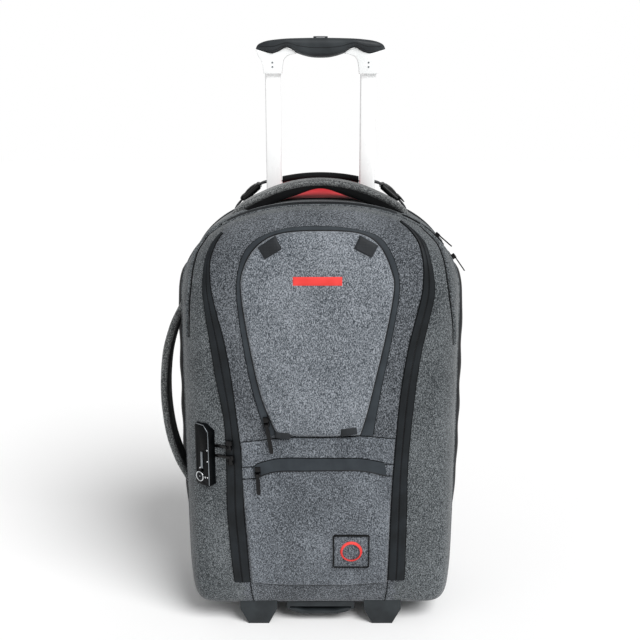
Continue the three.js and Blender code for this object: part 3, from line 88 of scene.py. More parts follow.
# Tables of shares: "across" of the half width, "up" of the body's height
LEFT_ZIP = (
    (0.942, 0.694, 0.681), (0.9285, 0.7345, 0.712), (0.908, 0.774, 0.742), (0.876, 0.803, 0.765),
    (0.8215, 0.816, 0.7565), (0.77, 0.804, 0.7254), (0.7195, 0.786, 0.6873), (0.667, 0.765, 0.6561),
    (0.614, 0.744, 0.6317), (0.508, 0.691, 0.5966), (0.3936, 0.682, 0.563), (0.2838, 0.6855, 0.5608),
    (0.1659, 0.6663, 0.5385), (0.0859, 0.645, 0.5266),
)
RIGHT_ZIP = (
    (0.967, 0.565, 0.5544), (0.9495, 0.6437, 0.6215), (0.923, 0.7214, 0.6786), (0.8855, 0.7609, 0.7066),
    (0.8395, 0.787, 0.7097), (0.8, 0.7867, 0.6948), (0.7205, 0.7372, 0.6378), (0.668, 0.706, 0.6064),
    (0.5619, 0.668, 0.5641), (0.397, 0.6338, 0.5316), (0.2834, 0.635, 0.5165), (0.0909, 0.63, 0.505),
)
ARCH_OUTER = (
    (-0.391, 0.4765), (-0.498, 0.6111), (-0.571, 0.7746), (-0.566, 0.8647), (-0.482, 0.924),
    (-0.277, 0.955), (0, 0.963), (0.284, 0.953), (0.443, 0.927), (0.54, 0.8504),
    (0.517, 0.7525), (0.428, 0.5869), (0.376, 0.4765),
)
ARCH_INNER = (
    (-0.312, 0.4765), (-0.415, 0.5626), (-0.494, 0.6828), (-0.551, 0.8182), (-0.53, 0.8725),
    (-0.44, 0.92), (-0.277, 0.948), (0, 0.954), (0.27, 0.948), (0.41, 0.92),
    (0.492, 0.8628), (0.506, 0.8182), (0.444, 0.6949), (0.338, 0.5374), (0.283, 0.4765),
)
LOWER_EDGE = (
    (-0.57, 0.4566), (-0.2, 0.4725), (0.3, 0.4745), (0.535, 0.4655), (0.52, 0.3586), (0.507, 0.2273),
    (0.5, 0.0838), (0.2, 0.0737), (-0.2, 0.0737), (-0.514, 0.0828), (-0.527, 0.1465), (-0.545, 0.2273),
    (-0.563, 0.3081), (-0.572, 0.4091),
)
LOWER_ZIP_TOP = ((-0.489, 0.397), (-0.423, 0.4101), (-0.22, 0.4225), (0.212, 0.4225), (0.459, 0.409))
LOWER_ZIP_LOW = ((-0.47, 0.3677), (-0.293, 0.3875), (0.214, 0.3915), (0.478, 0.3747))
LOOPS = (
    ("webbing_loop_upper_left", -0.342, 0.9165, 31, 23, 15),
    ("webbing_loop_upper_right", 0.307, 0.9185, -27, 23, 15),
    ("webbing_loop_lower_left", -0.268, 0.4795, -4, 17.5, 8),
    ("webbing_loop_lower_right", 0.198, 0.4905, 5, 20, 10),
)


def across(share):
    """A share of the half width, in millimetres."""
    return share * HALF_WIDTH


def up(share):
    """A share of the body's height, as a height above the floor."""
    return BODY_BOTTOM + share * BODY_HEIGHT


# Where the middle of the bag stands in the frame, from the ring wall round it
_low, _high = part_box("gusset")
ORIGIN = Vector(((_low.x + _high.x) / 2, (_low.y + _high.y) / 2, 0))


def in_frame(point):
    """A point in the bag's own millimetres, in the frame's metres."""
    return ORIGIN + Vector(point) * MM


def linear(code):
    """A hex colour as the eye reads it, turned to the linear values that the shaders take."""
    parts = [int(code[i : i + 2], 16) / 255 for i in (1, 3, 5)]
    return tuple(p / 12.92 if p <= 0.04045 else ((p + 0.055) / 1.055) ** 2.4 for p in parts)


# The body's skin


def smoothstep(value, low, high):
    """0 below low and 1 above high, with an even ease between them."""
    share = min(1.0, max(0.0, (value - low) / (high - low)))
    return share * share * (3 - 2 * share)


def level(x, z, inset):
    """Below 1 inside the body's outline moved in by inset, above 1 outside it."""
    tall = z - ARCH_START
    wide = abs(x) / (HALF_WIDTH - inset)
    if tall >= 0:
        return wide**ARCH_POWER + (tall / (ARCH_RISE - inset)) ** ARCH_POWER
    return wide**CORNER_POWER + (-tall / (SIDE_HEIGHT - inset)) ** CORNER_POWER


def solve(inside, low, high, steps=22):
    """The place between low and high where inside() turns false."""
    for _ in range(steps):
        middle = (low + high) / 2
        if inside(middle):
            low = middle
        else:
            high = middle
    return low


def ripple(x, y, z):
    """The cloth's own slack: a few soft dents, the same for every layer."""
    return sum(
        row["height"] * noise.noise(Vector((x, y, z)) / row["size"]) for row in RIPPLES
    )


def swell(form, inset, tall_share):
    """How far the face stands out from the rim at a distance in from the outline."""
    roll = form["roll"] + (form["low_roll"] - form["roll"]) * smoothstep(-tall_share, 0.15, 1)
    turn = min(1.0, max(-1.0, 1 - inset / roll))
    rise = form["rise"] * (math.sqrt(1 - turn * turn) if turn > 0 else 1.0)
    belly = form["belly"] * (1 - (1 - min(BELLY_REACH, max(0.0, inset)) / BELLY_REACH) ** 2)
    return rise + belly


def depth_at(form, x, z):
    """The y of the front or back skin at one x and z."""
    if level(x, z, BELLY_REACH - 0.01) > 1:
        inset = solve(lambda d: level(x, z, d) < 1, -12.0, BELLY_REACH)
        reach = ARCH_RISE if z >= ARCH_START else SIDE_HEIGHT
        out = swell(form, inset, (z - ARCH_START) / (reach - inset))
    else:
        share = 1 - solve(
            lambda s: level(x / (1 - s), CROWN_CENTRE + (z - CROWN_CENTRE) / (1 - s), BELLY_REACH) < 1,
            0.0,
            0.999,
        )
        out = form["rise"] + form["belly"] + form["crown"] * (1 - share * share) ** 2
    y = form["side"] * (HALF_DEPTH + out)
    return y + form["side"] * ripple(x, y, z) * min(1.0, out / form["rise"])


def skin(form, x, z, out=0.0):
    """The point that stands out from the skin at x and z, and the skin's outward direction."""
    step = 0.4
    y = depth_at(form, x, z)
    slope_x = (depth_at(form, x + step, z) - depth_at(form, x - step, z)) / (2 * step)
    slope_z = (depth_at(form, x, z + step) - depth_at(form, x, z - step)) / (2 * step)
    normal = (Vector((-slope_x, 1, -slope_z)) * form["side"]).normalized()
    return Vector((x, y, z)) + normal * out, normal


def outline(inset, count):
    """The body's outline moved in by inset, as (x, z, share of the height) seen from the front."""
    kept = []
    arch = int(count * ARCH_SHARE)
    for i in range(arch):
        angle = math.pi * i / arch
        wide = math.copysign(abs(math.cos(angle)) ** (2 / ARCH_POWER), math.cos(angle))
        tall = abs(math.sin(angle)) ** (2 / ARCH_POWER)
        kept.append((wide * (HALF_WIDTH - inset), ARCH_START + tall * (ARCH_RISE - inset), tall))
    for p in lower_line(count - arch):
        wide, tall = p.x / HALF_WIDTH, p.y / SIDE_HEIGHT
        bow = SIDE_BOW / HALF_WIDTH * math.sin(min(1.0, abs(tall)) * math.pi) * math.copysign(1, wide)
        kept.append(((wide + bow) * (HALF_WIDTH - inset), ARCH_START + tall * (SIDE_HEIGHT - inset), tall))
    return kept


def lower_line(count):
    """The sides and the underside in steps that draw together where the line turns."""
    if count not in LOWER_LINES:
        raw = []
        for i in range(LOWER_FINE + 1):
            angle = math.pi * i / LOWER_FINE
            wide = -math.copysign(abs(math.cos(angle)) ** (2 / CORNER_POWER), math.cos(angle))
            tall = -(abs(math.sin(angle)) ** (2 / CORNER_POWER))
            raw.append(Vector((wide * HALF_WIDTH, tall * SIDE_HEIGHT)))
        LOWER_LINES[count] = resample(raw, count + 1, TURN_WEIGHT)[:-1]
    return LOWER_LINES[count]


def resample(points, count, turn_weight=0.0):
    """Points at even steps along an open line. A turn of one radian may count as some more length."""
    lengths = [0.0]
    before = None
    for a, b in zip(points, points[1:]):
        step = b - a
        turn = step.angle(before, 0.0) if before is not None and turn_weight else 0.0
        lengths.append(lengths[-1] + step.length + turn_weight * turn)
        before = step
    result, k = [], 0
    for i in range(count):
        target = lengths[-1] * i / (count - 1)
        while k < len(points) - 2 and lengths[k + 1] < target:
            k += 1
        span = lengths[k + 1] - lengths[k]
        share = 0 if span == 0 else (target - lengths[k]) / span
        result.append(points[k].lerp(points[k + 1], min(1.0, max(0.0, share))))
    return result


def curve(points, count):
    """A smooth line through the points, at even steps."""
    fine = []
    last = len(points) - 1
    for i in range(last):
        before, a, b, after = points[max(0, i - 1)], points[i], points[i + 1], points[min(last, i + 2)]
        for s in range(12):
            t = s / 12
            fine.append(
                0.5
                * (
                    2 * a
                    + (b - before) * t
                    + (2 * before - 5 * a + 4 * b - after) * t * t
                    + (3 * a - before - 3 * b + after) * t * t * t
                )
            )
    fine.append(points[last])
    return resample(fine, count)


def shares(rows):
    """Places on the face from rows of (across, up) shares."""
    return [Vector((across(a), up(u))) for a, u in rows]


# Meshes


def loft(rows, close_rows=False, close_columns=False):
    """Points and faces of a sheet through rows of points."""
    points = [p for row in rows for p in row]
    wide = len(rows[0])
    faces = []
    for i in range(len(rows) if close_rows else len(rows) - 1):
        below = (i + 1) % len(rows)
        for k in range(wide if close_columns else wide - 1):
            beside = (k + 1) % wide
            faces.append((i * wide + k, i * wide + beside, below * wide + beside, below * wide + k))
    return points, faces


def merged(parts):
    """Several (points, faces) as one."""
    points, faces = [], []
    for part_points, part_faces in parts:
        start = len(points)
        points.extend(part_points)
        faces.extend(tuple(start + i for i in face) for face in part_faces)
    return points, faces


def piece(name, shape, material, body="bag", stands_for=(), smooth=35.0):
    """A mesh object in the frame from the bag's own points, with its finish, riding on a body."""
    points, faces = shape
    mesh = bpy.data.meshes.new(name)
    mesh.from_pydata([in_frame(p) for p in points], [], faces)
    return mesh_piece(name, mesh, material, body, stands_for, smooth)


def mesh_piece(name, mesh, material, body="bag", stands_for=(), smooth=35.0):
    """Makes a mesh into a piece, with its material, its body and its slot."""
    obj = bpy.data.objects.new(name, mesh)
    bpy.context.scene.collection.objects.link(obj)
    tidy = bmesh.new()
    tidy.from_mesh(mesh)
    bmesh.ops.remove_doubles(tidy, verts=tidy.verts, dist=1e-6)
    bmesh.ops.recalc_face_normals(tidy, faces=tidy.faces)
    tidy.to_mesh(mesh)
    tidy.free()
    mesh.materials.clear()
    mesh.materials.append(material)
    shade(mesh, smooth)
    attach(obj, body)
    if stands_for:
        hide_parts(*stands_for)
    return obj


def shade(mesh, degrees):
    """Smooth faces, with a crease where two meet at more than the angle."""
    limit = math.radians(degrees)
    work = bmesh.new()
    work.from_mesh(mesh)
    for face in work.faces:
        face.smooth = True
    for edge in work.edges:
        edge.smooth = len(edge.link_faces) != 2 or edge.calc_face_angle(0) < limit
    work.to_mesh(mesh)
    work.free()


def apply_modifiers(obj):
    """Keeps the shape that the object's modifiers give it, and takes them off."""
    depsgraph = bpy.context.evaluated_depsgraph_get()
    depsgraph.update()
    made = bpy.data.meshes.new_from_object(obj.evaluated_get(depsgraph))
    obj.modifiers.clear()
    obj.data = made


def tube(line, radius, sides=8, closed=False, flat=1.0):
    """A round or flattened cord along a line of points."""
    rings = []
    count = len(line)
    side = None
    for i, here in enumerate(line):
        before = line[(i - 1) % count] if closed else line[max(0, i - 1)]
        after = line[(i + 1) % count] if closed else line[min(count - 1, i + 1)]
        along = (after - before).normalized()
        if side is None:
            side = along.orthogonal().normalized()
        side = (side - along * side.dot(along)).normalized()
        other = along.cross(side)
        ring = []
        for k in range(sides):
            angle = 2 * math.pi * k / sides
            ring.append(here + side * radius * math.cos(angle) + other * radius * flat * math.sin(angle))
        rings.append(ring)
    points, faces = loft(rings, close_rows=closed, close_columns=True)
    if not closed:
        faces.append(tuple(reversed(range(sides))))
        faces.append(tuple(range(len(points) - sides, len(points))))
    return points, faces


def bar(centre, along, outward, length, width, height):
    """A small block with a narrower top: a zip tooth or a stitch."""
    along = along.normalized()
    outward = (outward - along * outward.dot(along)).normalized()
    side = along.cross(outward)
    points = []
    for lift, shrink in ((0.0, 1.0), (1.0, 0.6)):
        for sx, sy in ((-1, -1), (1, -1), (1, 1), (-1, 1)):
            points.append(
                centre
                + along * (sx * length / 2 * shrink)
                + side * (sy * width / 2 * shrink)
                + outward * (height * lift)
            )
    faces = [(3, 2, 1, 0), (4, 5, 6, 7), (0, 1, 5, 4), (1, 2, 6, 5), (2, 3, 7, 6), (3, 0, 4, 7)]
    return points, faces


def along_line(line, outward, pitch, length, width, height, turn=False):
    """Small bars at even steps along a line, lying along it, or across it if turned."""
    total = sum((b - a).length for a, b in zip(line, line[1:]))
    count = max(2, int(total / pitch))
    parts = []
    places = resample(line, count)
    outs = resample(outward, count)
    for i, here in enumerate(places):
        direction = (places[min(count - 1, i + 1)] - places[max(0, i - 1)]).normalized()
        out = outs[i].normalized()
        if turn:
            direction = direction.cross(out)
        parts.append(bar(here, direction, out, length, width, height))
    return merged(parts)


def on_skin(form, flat_line, out):
    """A line seen from the front laid on the skin, with the outward directions along it."""
    pairs = [skin(form, p.x, p.y, out) for p in flat_line]
    return [p for p, _ in pairs], [n for _, n in pairs]


def strip(form, side_a, side_b, profile):
    """A band on the skin between two lines seen from the front. The profile gives shares across and heights."""
    rows = []
    for a, b in zip(side_a, side_b):
        rows.append([skin(form, *a.lerp(b, share), height)[0] for share, height in profile])
    return loft(rows)


def panel(form, edge, centre, height_at, edge_steps, inner_steps):
    """A padded panel on the skin inside a closed edge, as rings that draw in to its centre."""
    rows = []
    for distance in edge_steps:
        row = []
        for p in edge:
            inward = centre - p
            at = p + inward * (distance / inward.length)
            row.append(skin(form, at.x, at.y, height_at(distance))[0])
        rows.append(row)
    last = edge_steps[-1]
    for share in inner_steps:
        row = []
        for p in edge:
            inward = centre - p
            start = p + inward * (last / inward.length)
            at = start.lerp(centre, share)
            row.append(skin(form, at.x, at.y, height_at((at - p).length))[0])
        rows.append(row)
    points, faces = loft(rows, close_columns=True)
    middle = len(points)
    points.append(skin(form, centre.x, centre.y, height_at(1e3))[0])
    wide = len(edge)
    first = (len(rows) - 1) * wide
    faces.extend((first + k, first + (k + 1) % wide, middle) for k in range(wide))
    return points, faces


def cut_box(obj, low, high):
    """Takes out of a skin what lies inside a box given in the bag's own millimetres."""
    lo, hi = in_frame(low), in_frame(high)
    work = bmesh.new()
    work.from_mesh(obj.data)
    for axis in range(3):
        for bound in (lo, hi):
            normal = Vector((0, 0, 0))
            normal[axis] = 1
            near = [
                f
                for f in work.faces
                if all(
                    min(v.co[i] for v in f.verts) < hi[i] and max(v.co[i] for v in f.verts) > lo[i]
                    for i in range(3)
                    if i != axis
                )
            ]
            geometry = list({e for f in near for e in f.edges} | {v for f in near for v in f.verts}) + near
            bmesh.ops.bisect_plane(work, geom=geometry, plane_co=bound, plane_no=normal)
    gone = [
        f for f in work.faces if all(lo[i] < f.calc_center_median()[i] < hi[i] for i in range(3))
    ]
    bmesh.ops.delete(work, geom=gone, context="FACES")
    work.to_mesh(obj.data)
    work.free()
    shade(obj.data, 35)


def from_frame(node, material, bevel=0.35, body="bag", name=None, smooth=32.0, segments=2):
    """A hard part of the frame with its edges rounded over as moulding or casting leaves them."""
    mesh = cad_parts[node].data.copy()
    mesh.name = name or node
    work = bmesh.new()
    work.from_mesh(mesh)
    bmesh.ops.remove_doubles(work, verts=work.verts, dist=2e-6)
    bmesh.ops.dissolve_limit(work, angle_limit=math.radians(1), verts=work.verts, edges=work.edges)
    work.to_mesh(mesh)
    work.free()
    for layer in list(mesh.attributes):
        if layer.name in ("custom_normal", "sharp_face"):
            mesh.attributes.remove(layer)
    obj = mesh_piece((name or node) + "_finish", mesh, material, body, (node,), smooth)
    if bevel:
        rounding = obj.modifiers.new("rounding", "BEVEL")
        rounding.width = bevel * MM
        rounding.segments = segments
        rounding.limit_method = "ANGLE"
        rounding.angle_limit = math.radians(28)
        rounding.harden_normals = False
        apply_modifiers(obj)
        shade(obj.data, smooth)
    return obj


def puff(obj, voxel, pressure, cap):
    """Fills a padded piece by a short cloth simulation, with no point further than cap from its start."""
    remesh = obj.modifiers.new("remesh", "REMESH")
    remesh.mode = "VOXEL"
    remesh.voxel_size = voxel * MM
    remesh.use_smooth_shade = True
    material = obj.data.materials[0]
    apply_modifiers(obj)
    start = [v.co.copy() for v in obj.data.vertices]
    cloth = obj.modifiers.new("cloth", "CLOTH")
    cloth.settings.quality = 5
    cloth.settings.mass = 0.3
    cloth.settings.use_pressure = True
    cloth.settings.uniform_pressure_force = pressure
    cloth.settings.effector_weights.gravity = 0
    scene = bpy.context.scene
    for step in range(1, 21):
        scene.frame_set(step)
    swollen = obj.evaluated_get(bpy.context.evaluated_depsgraph_get()).to_mesh()
    ends = [v.co.copy() for v in swollen.vertices]
    obj.evaluated_get(bpy.context.evaluated_depsgraph_get()).to_mesh_clear()
    obj.modifiers.clear()
    scene.frame_set(1)
    for vertex, a, b in zip(obj.data.vertices, start, ends):
        move = b - a
        if move.length > cap * MM:
            move *= cap * MM / move.length
        vertex.co = a + move
    smooth = obj.modifiers.new("smooth", "SMOOTH")
    smooth.factor = 0.5
    smooth.iterations = 3
    finer = obj.modifiers.new("finer", "SUBSURF")
    finer.levels = 1
    finer.render_levels = 1
    apply_modifiers(obj)
    obj.data.materials.clear()
    obj.data.materials.append(material)
    shade(obj.data, 80)
    return obj


# Materials


def add_node(tree, kind, settings=None, links=None):
    """Adds one shader node, with its settings and what comes into it."""
    node = tree.nodes.new("ShaderNode" + kind)
    for key, value in (settings or {}).items():
        if isinstance(key, str) and hasattr(node, key):
            setattr(node, key, value)
        else:
            node.inputs[key].default_value = value
    for key, source in (links or {}).items():
        tree.links.new(source, node.inputs[key])
    return node


def stops(ramp, rows):
    """Sets a colour ramp's stops from rows of place and hex colour."""
    band = ramp.color_ramp
    while len(band.elements) > 1:
        band.elements.remove(band.elements[-1])
    for i, (place, code) in enumerate(rows):
        element = band.elements[0] if i == 0 else band.elements.new(place)
        element.position = place
        element.color = (*linear(code), 1)
    return ramp


def new_material(name, shader_settings):
    """A new material with the given settings on its shader."""
    material = bpy.data.materials.new(name)
    material.use_nodes = True
    tree = material.node_tree
    tree.nodes.clear()
    shader = add_node(tree, "BsdfPrincipled", shader_settings)
    add_node(tree, "OutputMaterial", links={"Surface": shader.outputs["BSDF"]})
    coordinates = add_node(tree, "TexCoord").outputs["Object"]
    return material, tree, shader, coordinates


def thread_noise(tree, coordinates, size, detail=2.0):
    """Noise whose grains have the given size in millimetres along x, y and z."""
    mapped = add_node(
        tree,
        "Mapping",
        {"Scale": tuple(1 / (s * MM) for s in size)},
        {"Vector": coordinates},
    ).outputs["Vector"]
    return add_node(tree, "TexNoise", {"Scale": 1.0, "Detail": detail}, {"Vector": mapped}).outputs[0]


def melange(name, dark, middle, light, grain=(0.66, 2.0)):
    """Melange polyester pack cloth, woven from yarns of mixed greys.

    The eye sees salt and pepper flecks, short and upright on the warp, short and level on the weft, no gloss
    and a soft pale edge. The yarns are 0.5 mm apart, so the flecks of two or three yarns are what shows.
    """
    material, tree, shader, coordinates = new_material(
        name, {"Roughness": 0.92, "Sheen Weight": 0.18, "Sheen Roughness": 0.5, "Specular IOR Level": 0.25}
    )
    thin, long = grain
    warp = thread_noise(tree, coordinates, (thin, thin, long))
    weft = thread_noise(tree, coordinates, (long, long, thin))
    upright = add_node(tree, "Math", {"operation": "MULTIPLY", 1: 0.64}, {0: warp}).outputs[0]
    half = add_node(tree, "Math", {"operation": "MULTIPLY_ADD", 1: 0.36}, {0: weft, 2: upright}).outputs[0]
    cloud = thread_noise(tree, coordinates, (55, 55, 70), 1.0)
    drift = add_node(tree, "Math", {"operation": "MULTIPLY_ADD", 1: 0.10, 2: -0.05}, {0: cloud}).outputs[0]
    value = add_node(tree, "Math", {"operation": "ADD"}, {0: half, 1: drift}).outputs[0]
    ramp = stops(
        add_node(tree, "ValToRGB", links={"Fac": value}), [(0.42, dark), (0.5, middle), (0.59, light)]
    )
    tree.links.new(ramp.outputs["Color"], shader.inputs["Base Color"])
    bump = add_node(tree, "Bump", {"Strength": 0.5, "Distance": 0.0004}, {"Height": half})
    tree.links.new(bump.outputs["Normal"], shader.inputs["Normal"])
    return material


def woven(name, dark, light, pitch, axis="xz", roughness=0.75, sheen=0.15, bump_mm=0.25, specular=0.4):
    """Plain weave of one colour: two sets of ribs at the yarn's pitch, drawn no finer than shows."""
    material, tree, shader, coordinates = new_material(
        name, {"Sheen Weight": sheen, "Sheen Roughness": 0.4, "Specular IOR Level": specular}
    )
    ribs = []
    for letter in axis:
        scale = math.pi / 10 / (pitch * MM)
        wave = add_node(
            tree,
            "TexWave",
            {"bands_direction": letter.upper(), "Scale": scale, "Distortion": 0.6, "Detail": 1.0},
            {"Vector": coordinates},
        )
        ribs.append(wave.outputs["Fac"])
    weave = add_node(tree, "Math", {"operation": "MULTIPLY"}, {0: ribs[0], 1: ribs[-1]}).outputs[0]
    cloud = thread_noise(tree, coordinates, (18, 18, 30))
    mixed = add_node(tree, "Math", {"operation": "MULTIPLY_ADD", 1: 0.35}, {0: weave, 2: cloud}).outputs[0]
    ramp = stops(add_node(tree, "ValToRGB", links={"Fac": mixed}), [(0.35, dark), (0.95, light)])
    tree.links.new(ramp.outputs["Color"], shader.inputs["Base Color"])
    rough = add_node(
        tree, "Math", {"operation": "MULTIPLY_ADD", 1: 0.2, 2: roughness - 0.1}, {0: cloud}
    ).outputs[0]
    tree.links.new(rough, shader.inputs["Roughness"])
    bump = add_node(tree, "Bump", {"Strength": 0.6, "Distance": bump_mm * MM}, {"Height": weave})
    tree.links.new(bump.outputs["Normal"], shader.inputs["Normal"])
    return material


def spacer_mesh(name, dark, light, cell=3.2):
    """Knitted spacer mesh: a close net of small open cells over foam, dull, with dark holes."""
    material, tree, shader, coordinates = new_material(
        name, {"Roughness": 0.9, "Sheen Weight": 0.2, "Specular IOR Level": 0.3}
    )
    mapped = add_node(
        tree, "Mapping", {"Scale": (1 / (cell * MM), 0.0, 0.8 / (cell * MM))}, {"Vector": coordinates}
    ).outputs["Vector"]
    cells = add_node(
        tree, "TexVoronoi", {"feature": "F1", "Scale": 1.0, "Randomness": 0.15}, {"Vector": mapped}
    ).outputs["Distance"]
    ramp = stops(add_node(tree, "ValToRGB", links={"Fac": cells}), [(0.22, dark), (0.42, light)])
    tree.links.new(ramp.outputs["Color"], shader.inputs["Base Color"])
    bump = add_node(tree, "Bump", {"Strength": 0.8, "Distance": 0.0007}, {"Height": cells})
    tree.links.new(bump.outputs["Normal"], shader.inputs["Normal"])
    return material


def moulded(name, dark, light, roughness, grain=0.35, grain_depth=0.02, metallic=0.0, coat=0.0, specular=0.5):
    """Moulded plastic, cast metal or lacquer: an even colour with faint clouding, scuffs and fine grain."""
    settings = {"Metallic": metallic, "Specular IOR Level": specular}
    if coat:
        settings.update({"Coat Weight": coat, "Coat Roughness": 0.08})
    material, tree, shader, coordinates = new_material(name, settings)
    cloud = thread_noise(tree, coordinates, (22, 22, 22))
    ramp = stops(add_node(tree, "ValToRGB", links={"Fac": cloud}), [(0.3, dark), (0.7, light)])
    tree.links.new(ramp.outputs["Color"], shader.inputs["Base Color"])
    scuff = thread_noise(tree, coordinates, (3, 3, 9), 4.0)
    rough = add_node(
        tree, "Math", {"operation": "MULTIPLY_ADD", 1: 0.22, 2: roughness - 0.11}, {0: scuff}
    ).outputs[0]
    tree.links.new(rough, shader.inputs["Roughness"])
    fine = thread_noise(tree, coordinates, (grain, grain, grain))
    bump = add_node(tree, "Bump", {"Strength": 0.4, "Distance": grain_depth * MM}, {"Height": fine})
    tree.links.new(bump.outputs["Normal"], shader.inputs["Normal"])
    return material


MATERIALS = {}


def make_materials():
    """Every finish of the bag, once."""
    m = MATERIALS
    # Melange cloth: the front panel is a lighter batch than the shell round it.
    m["shell_cloth"] = melange("melange_polyester_shell", "#1e2226", "#42464b", "#80858b")
    m["panel_cloth"] = melange("melange_polyester_panel", "#353a40", "#63696f", "#9ba0a7")
    m["panel_low_cloth"] = melange("melange_polyester_lower", "#292d32", "#50555b", "#888e95")
    m["handle_cloth"] = melange("melange_polyester_handle", "#2f3132", "#585a5b", "#8e9191", (0.9, 2.0))
    # Nylon pack cloth: black, a little shine on the crowns of its plain weave.
    m["black_cloth"] = woven("nylon_pack_cloth_black", "#0b0c0e", "#1f2124", 1.4, specular=0.25)
    m["lining"] = woven("nylon_lining_black", "#08090a", "#141517", 1.2, sheen=0.05, specular=0.15)
    m["red_cloth"] = woven("nylon_pack_cloth_red", "#a81d24", "#d8363d", 1.4, specular=0.2)
    m["webbing"] = woven("polypropylene_webbing", "#181b1e", "#2c2f33", 1.6, roughness=0.6, specular=0.25)
    m["mesh"] = spacer_mesh("polyester_spacer_mesh", "#0b0c0e", "#2a2d31")
    # Zip tape coated with polyurethane: dark, smooth and faintly satin.
    m["main_tape"] = moulded("coated_zip_tape_black", "#0f1316", "#1b2024", 0.6, 0.9, 0.05, specular=0.22)
    m["pocket_tape"] = moulded("coated_zip_tape_grey", "#2a2f34", "#363c41", 0.65, 0.9, 0.05, specular=0.22)
    m["coil"] = moulded("nylon_zip_coil", "#060708", "#16181b", 0.45, specular=0.3)
    m["thread"] = moulded("polyester_thread_grey", "#191c1f", "#2b2f33", 0.8, specular=0.2)
    m["seam_thread"] = moulded("polyester_seam_thread_dark", "#050607", "#0f1113", 0.85, specular=0.15)
    m["red_thread"] = moulded("embroidery_thread_red", "#dc3833", "#f04b47", 0.6, 0.6, 0.12, specular=0.3)
    m["piping"] = melange("melange_polyester_binding", "#101214", "#24272a", "#484c50", (0.9, 1.6))
    # Die cast zinc under black lacquer: deep black with small sharp lights.
    m["black_metal"] = moulded("zinc_black_lacquered", "#010102", "#040405", 0.2, coat=0.12, specular=0.2)
    # ABS moulded in a polished tool.
    m["lock_case"] = moulded("abs_polished_black", "#020304", "#05080a", 0.3, specular=0.06)
    m["gunmetal"] = moulded("brass_gunmetal_plated", "#1c1e20", "#2b2e31", 0.3, metallic=1.0)
    m["side_cloth"] = melange("melange_polyester_side", "#1e2225", "#43484b", "#7f8487", (0.62, 1.8))
    # Nickel plate for the key ring; also the bright dots and plate that are painted highlights on the lock and the
    # grip button
    m["nickel"] = moulded("brass_nickel_plated", "#b6b9bc", "#d6d8da", 0.2, metallic=1.0)
    # Satin zinc for the latch and the rivets; also the painted highlight line on the lock face's edges
    m["latch"] = moulded("zinc_satin_grey_and_edge_highlight", "#6b7074", "#8e9397", 0.35, metallic=1.0)
    # Silver aluminium tube coloured white: painted light, for the glare that turns its silver white; and plain
    # drawn tube inside it.
    m["white_tube"] = moulded("aluminium_glare_white", "#fafbfb", "#ffffff", 0.3, coat=0.3)
    m["plain_tube"] = moulded("aluminium_drawn", "#b9bcbf", "#d4d6d8", 0.28, metallic=1.0)
    m["white_plastic"] = moulded("abs_white", "#f2f4f4", "#fbfcfc", 0.35)
    m["grip"] = moulded("soft_touch_polypropylene", "#24282b", "#34393c", 0.5, 0.5, 0.04, specular=0.3)
    m["black_plastic"] = moulded("polypropylene_black", "#0e1012", "#1b1e20", 0.5, 0.5, 0.05, specular=0.3)
    m["buckle"] = moulded("acetal_black", "#030404", "#0b0c0d", 0.35, 0.5, 0.04, specular=0.35)
    m["foot"] = moulded("polypropylene_foot_grey", "#1e2225", "#2e3336", 0.55, 0.6, 0.05, specular=0.3)
    m["tyre"] = moulded("polyurethane_tyre", "#101113", "#1e2022", 0.65, 0.8, 0.06, specular=0.3)
    m["hub"] = moulded("nylon_wheel_hub", "#191c1f", "#2c3034", 0.45, specular=0.3)


# The body


def skin_rings(form, count):
    """The swollen face of the body as rings from the rim in, each with its ripple."""
    rings = []
    rim_turn = 12
    insets = [("turn", 90.0 * i / rim_turn) for i in range(rim_turn + 1)]
    insets += [("belly", i / 12) for i in range(1, 13)]
    for kind, value in insets:
        ring = []
        for k in range(count):
            ring.append((kind, value, k))
        rings.append(ring)
    shapes = {}

    def spot(kind, value, k):
        _, _, tall = base[k]
        low = smoothstep(-tall, 0.15, 1)
        roll = form["roll"] + (form["low_roll"] - form["roll"]) * low
        if kind == "turn":
            inset = roll * (1 - math.cos(math.radians(value)))
        else:
            inset = roll + (BELLY_REACH - roll) * value
        key = round(inset, 4)
        if key not in shapes:
            shapes[key] = outline(inset, count)
        x, z, _ = shapes[key][k]
        out = swell(form, inset, tall)
        y = form["side"] * (HALF_DEPTH + out)
        y += form["side"] * ripple(x, y, z) * min(1.0, out / form["rise"])
        return Vector((x, y, z))

    base = outline(0, count)
    rows = [[spot(*entry) for entry in ring] for ring in rings]
    flat = outline(BELLY_REACH, count)
    for i in range(1, 10):
        share = 1 - i / 10
        row = []
        for x, z, _ in flat:
            px, pz = x * share, CROWN_CENTRE + (z - CROWN_CENTRE) * share
            out = form["rise"] + form["belly"] + form["crown"] * (1 - share * share) ** 2
            y = form["side"] * (HALF_DEPTH + out)
            row.append(Vector((px, y + form["side"] * ripple(px, y, pz), pz)))
        rows.append(row)
    return rows


def face_shape(form, count, tuck):
    """The face with its edge turned in towards the ring wall."""
    rows = skin_rings(form, count)
    inner = [Vector((x, form["side"] * (HALF_DEPTH - 0.2), z)) for x, z, _ in outline(tuck, count)]
    rows.insert(0, inner)
    points, faces = loft(rows, close_columns=True)
    middle = len(points)
    y = form["side"] * (HALF_DEPTH + form["rise"] + form["belly"] + form["crown"])
    points.append(Vector((0, y + form["side"] * ripple(0, y, CROWN_CENTRE), CROWN_CENTRE)))
    start = (len(rows) - 1) * count
    faces.extend((start + k, start + (k + 1) % count, middle) for k in range(count))
    return points, faces


WHEEL_BAY = {"inner": 102.45, "outer": 137.55, "front": 21.45, "top": 70.4}
TUBE_X = 57.0
TUBE_Y = 38.5
TUBE_BAY = {"wide": 12.6, "deep": 9.1}


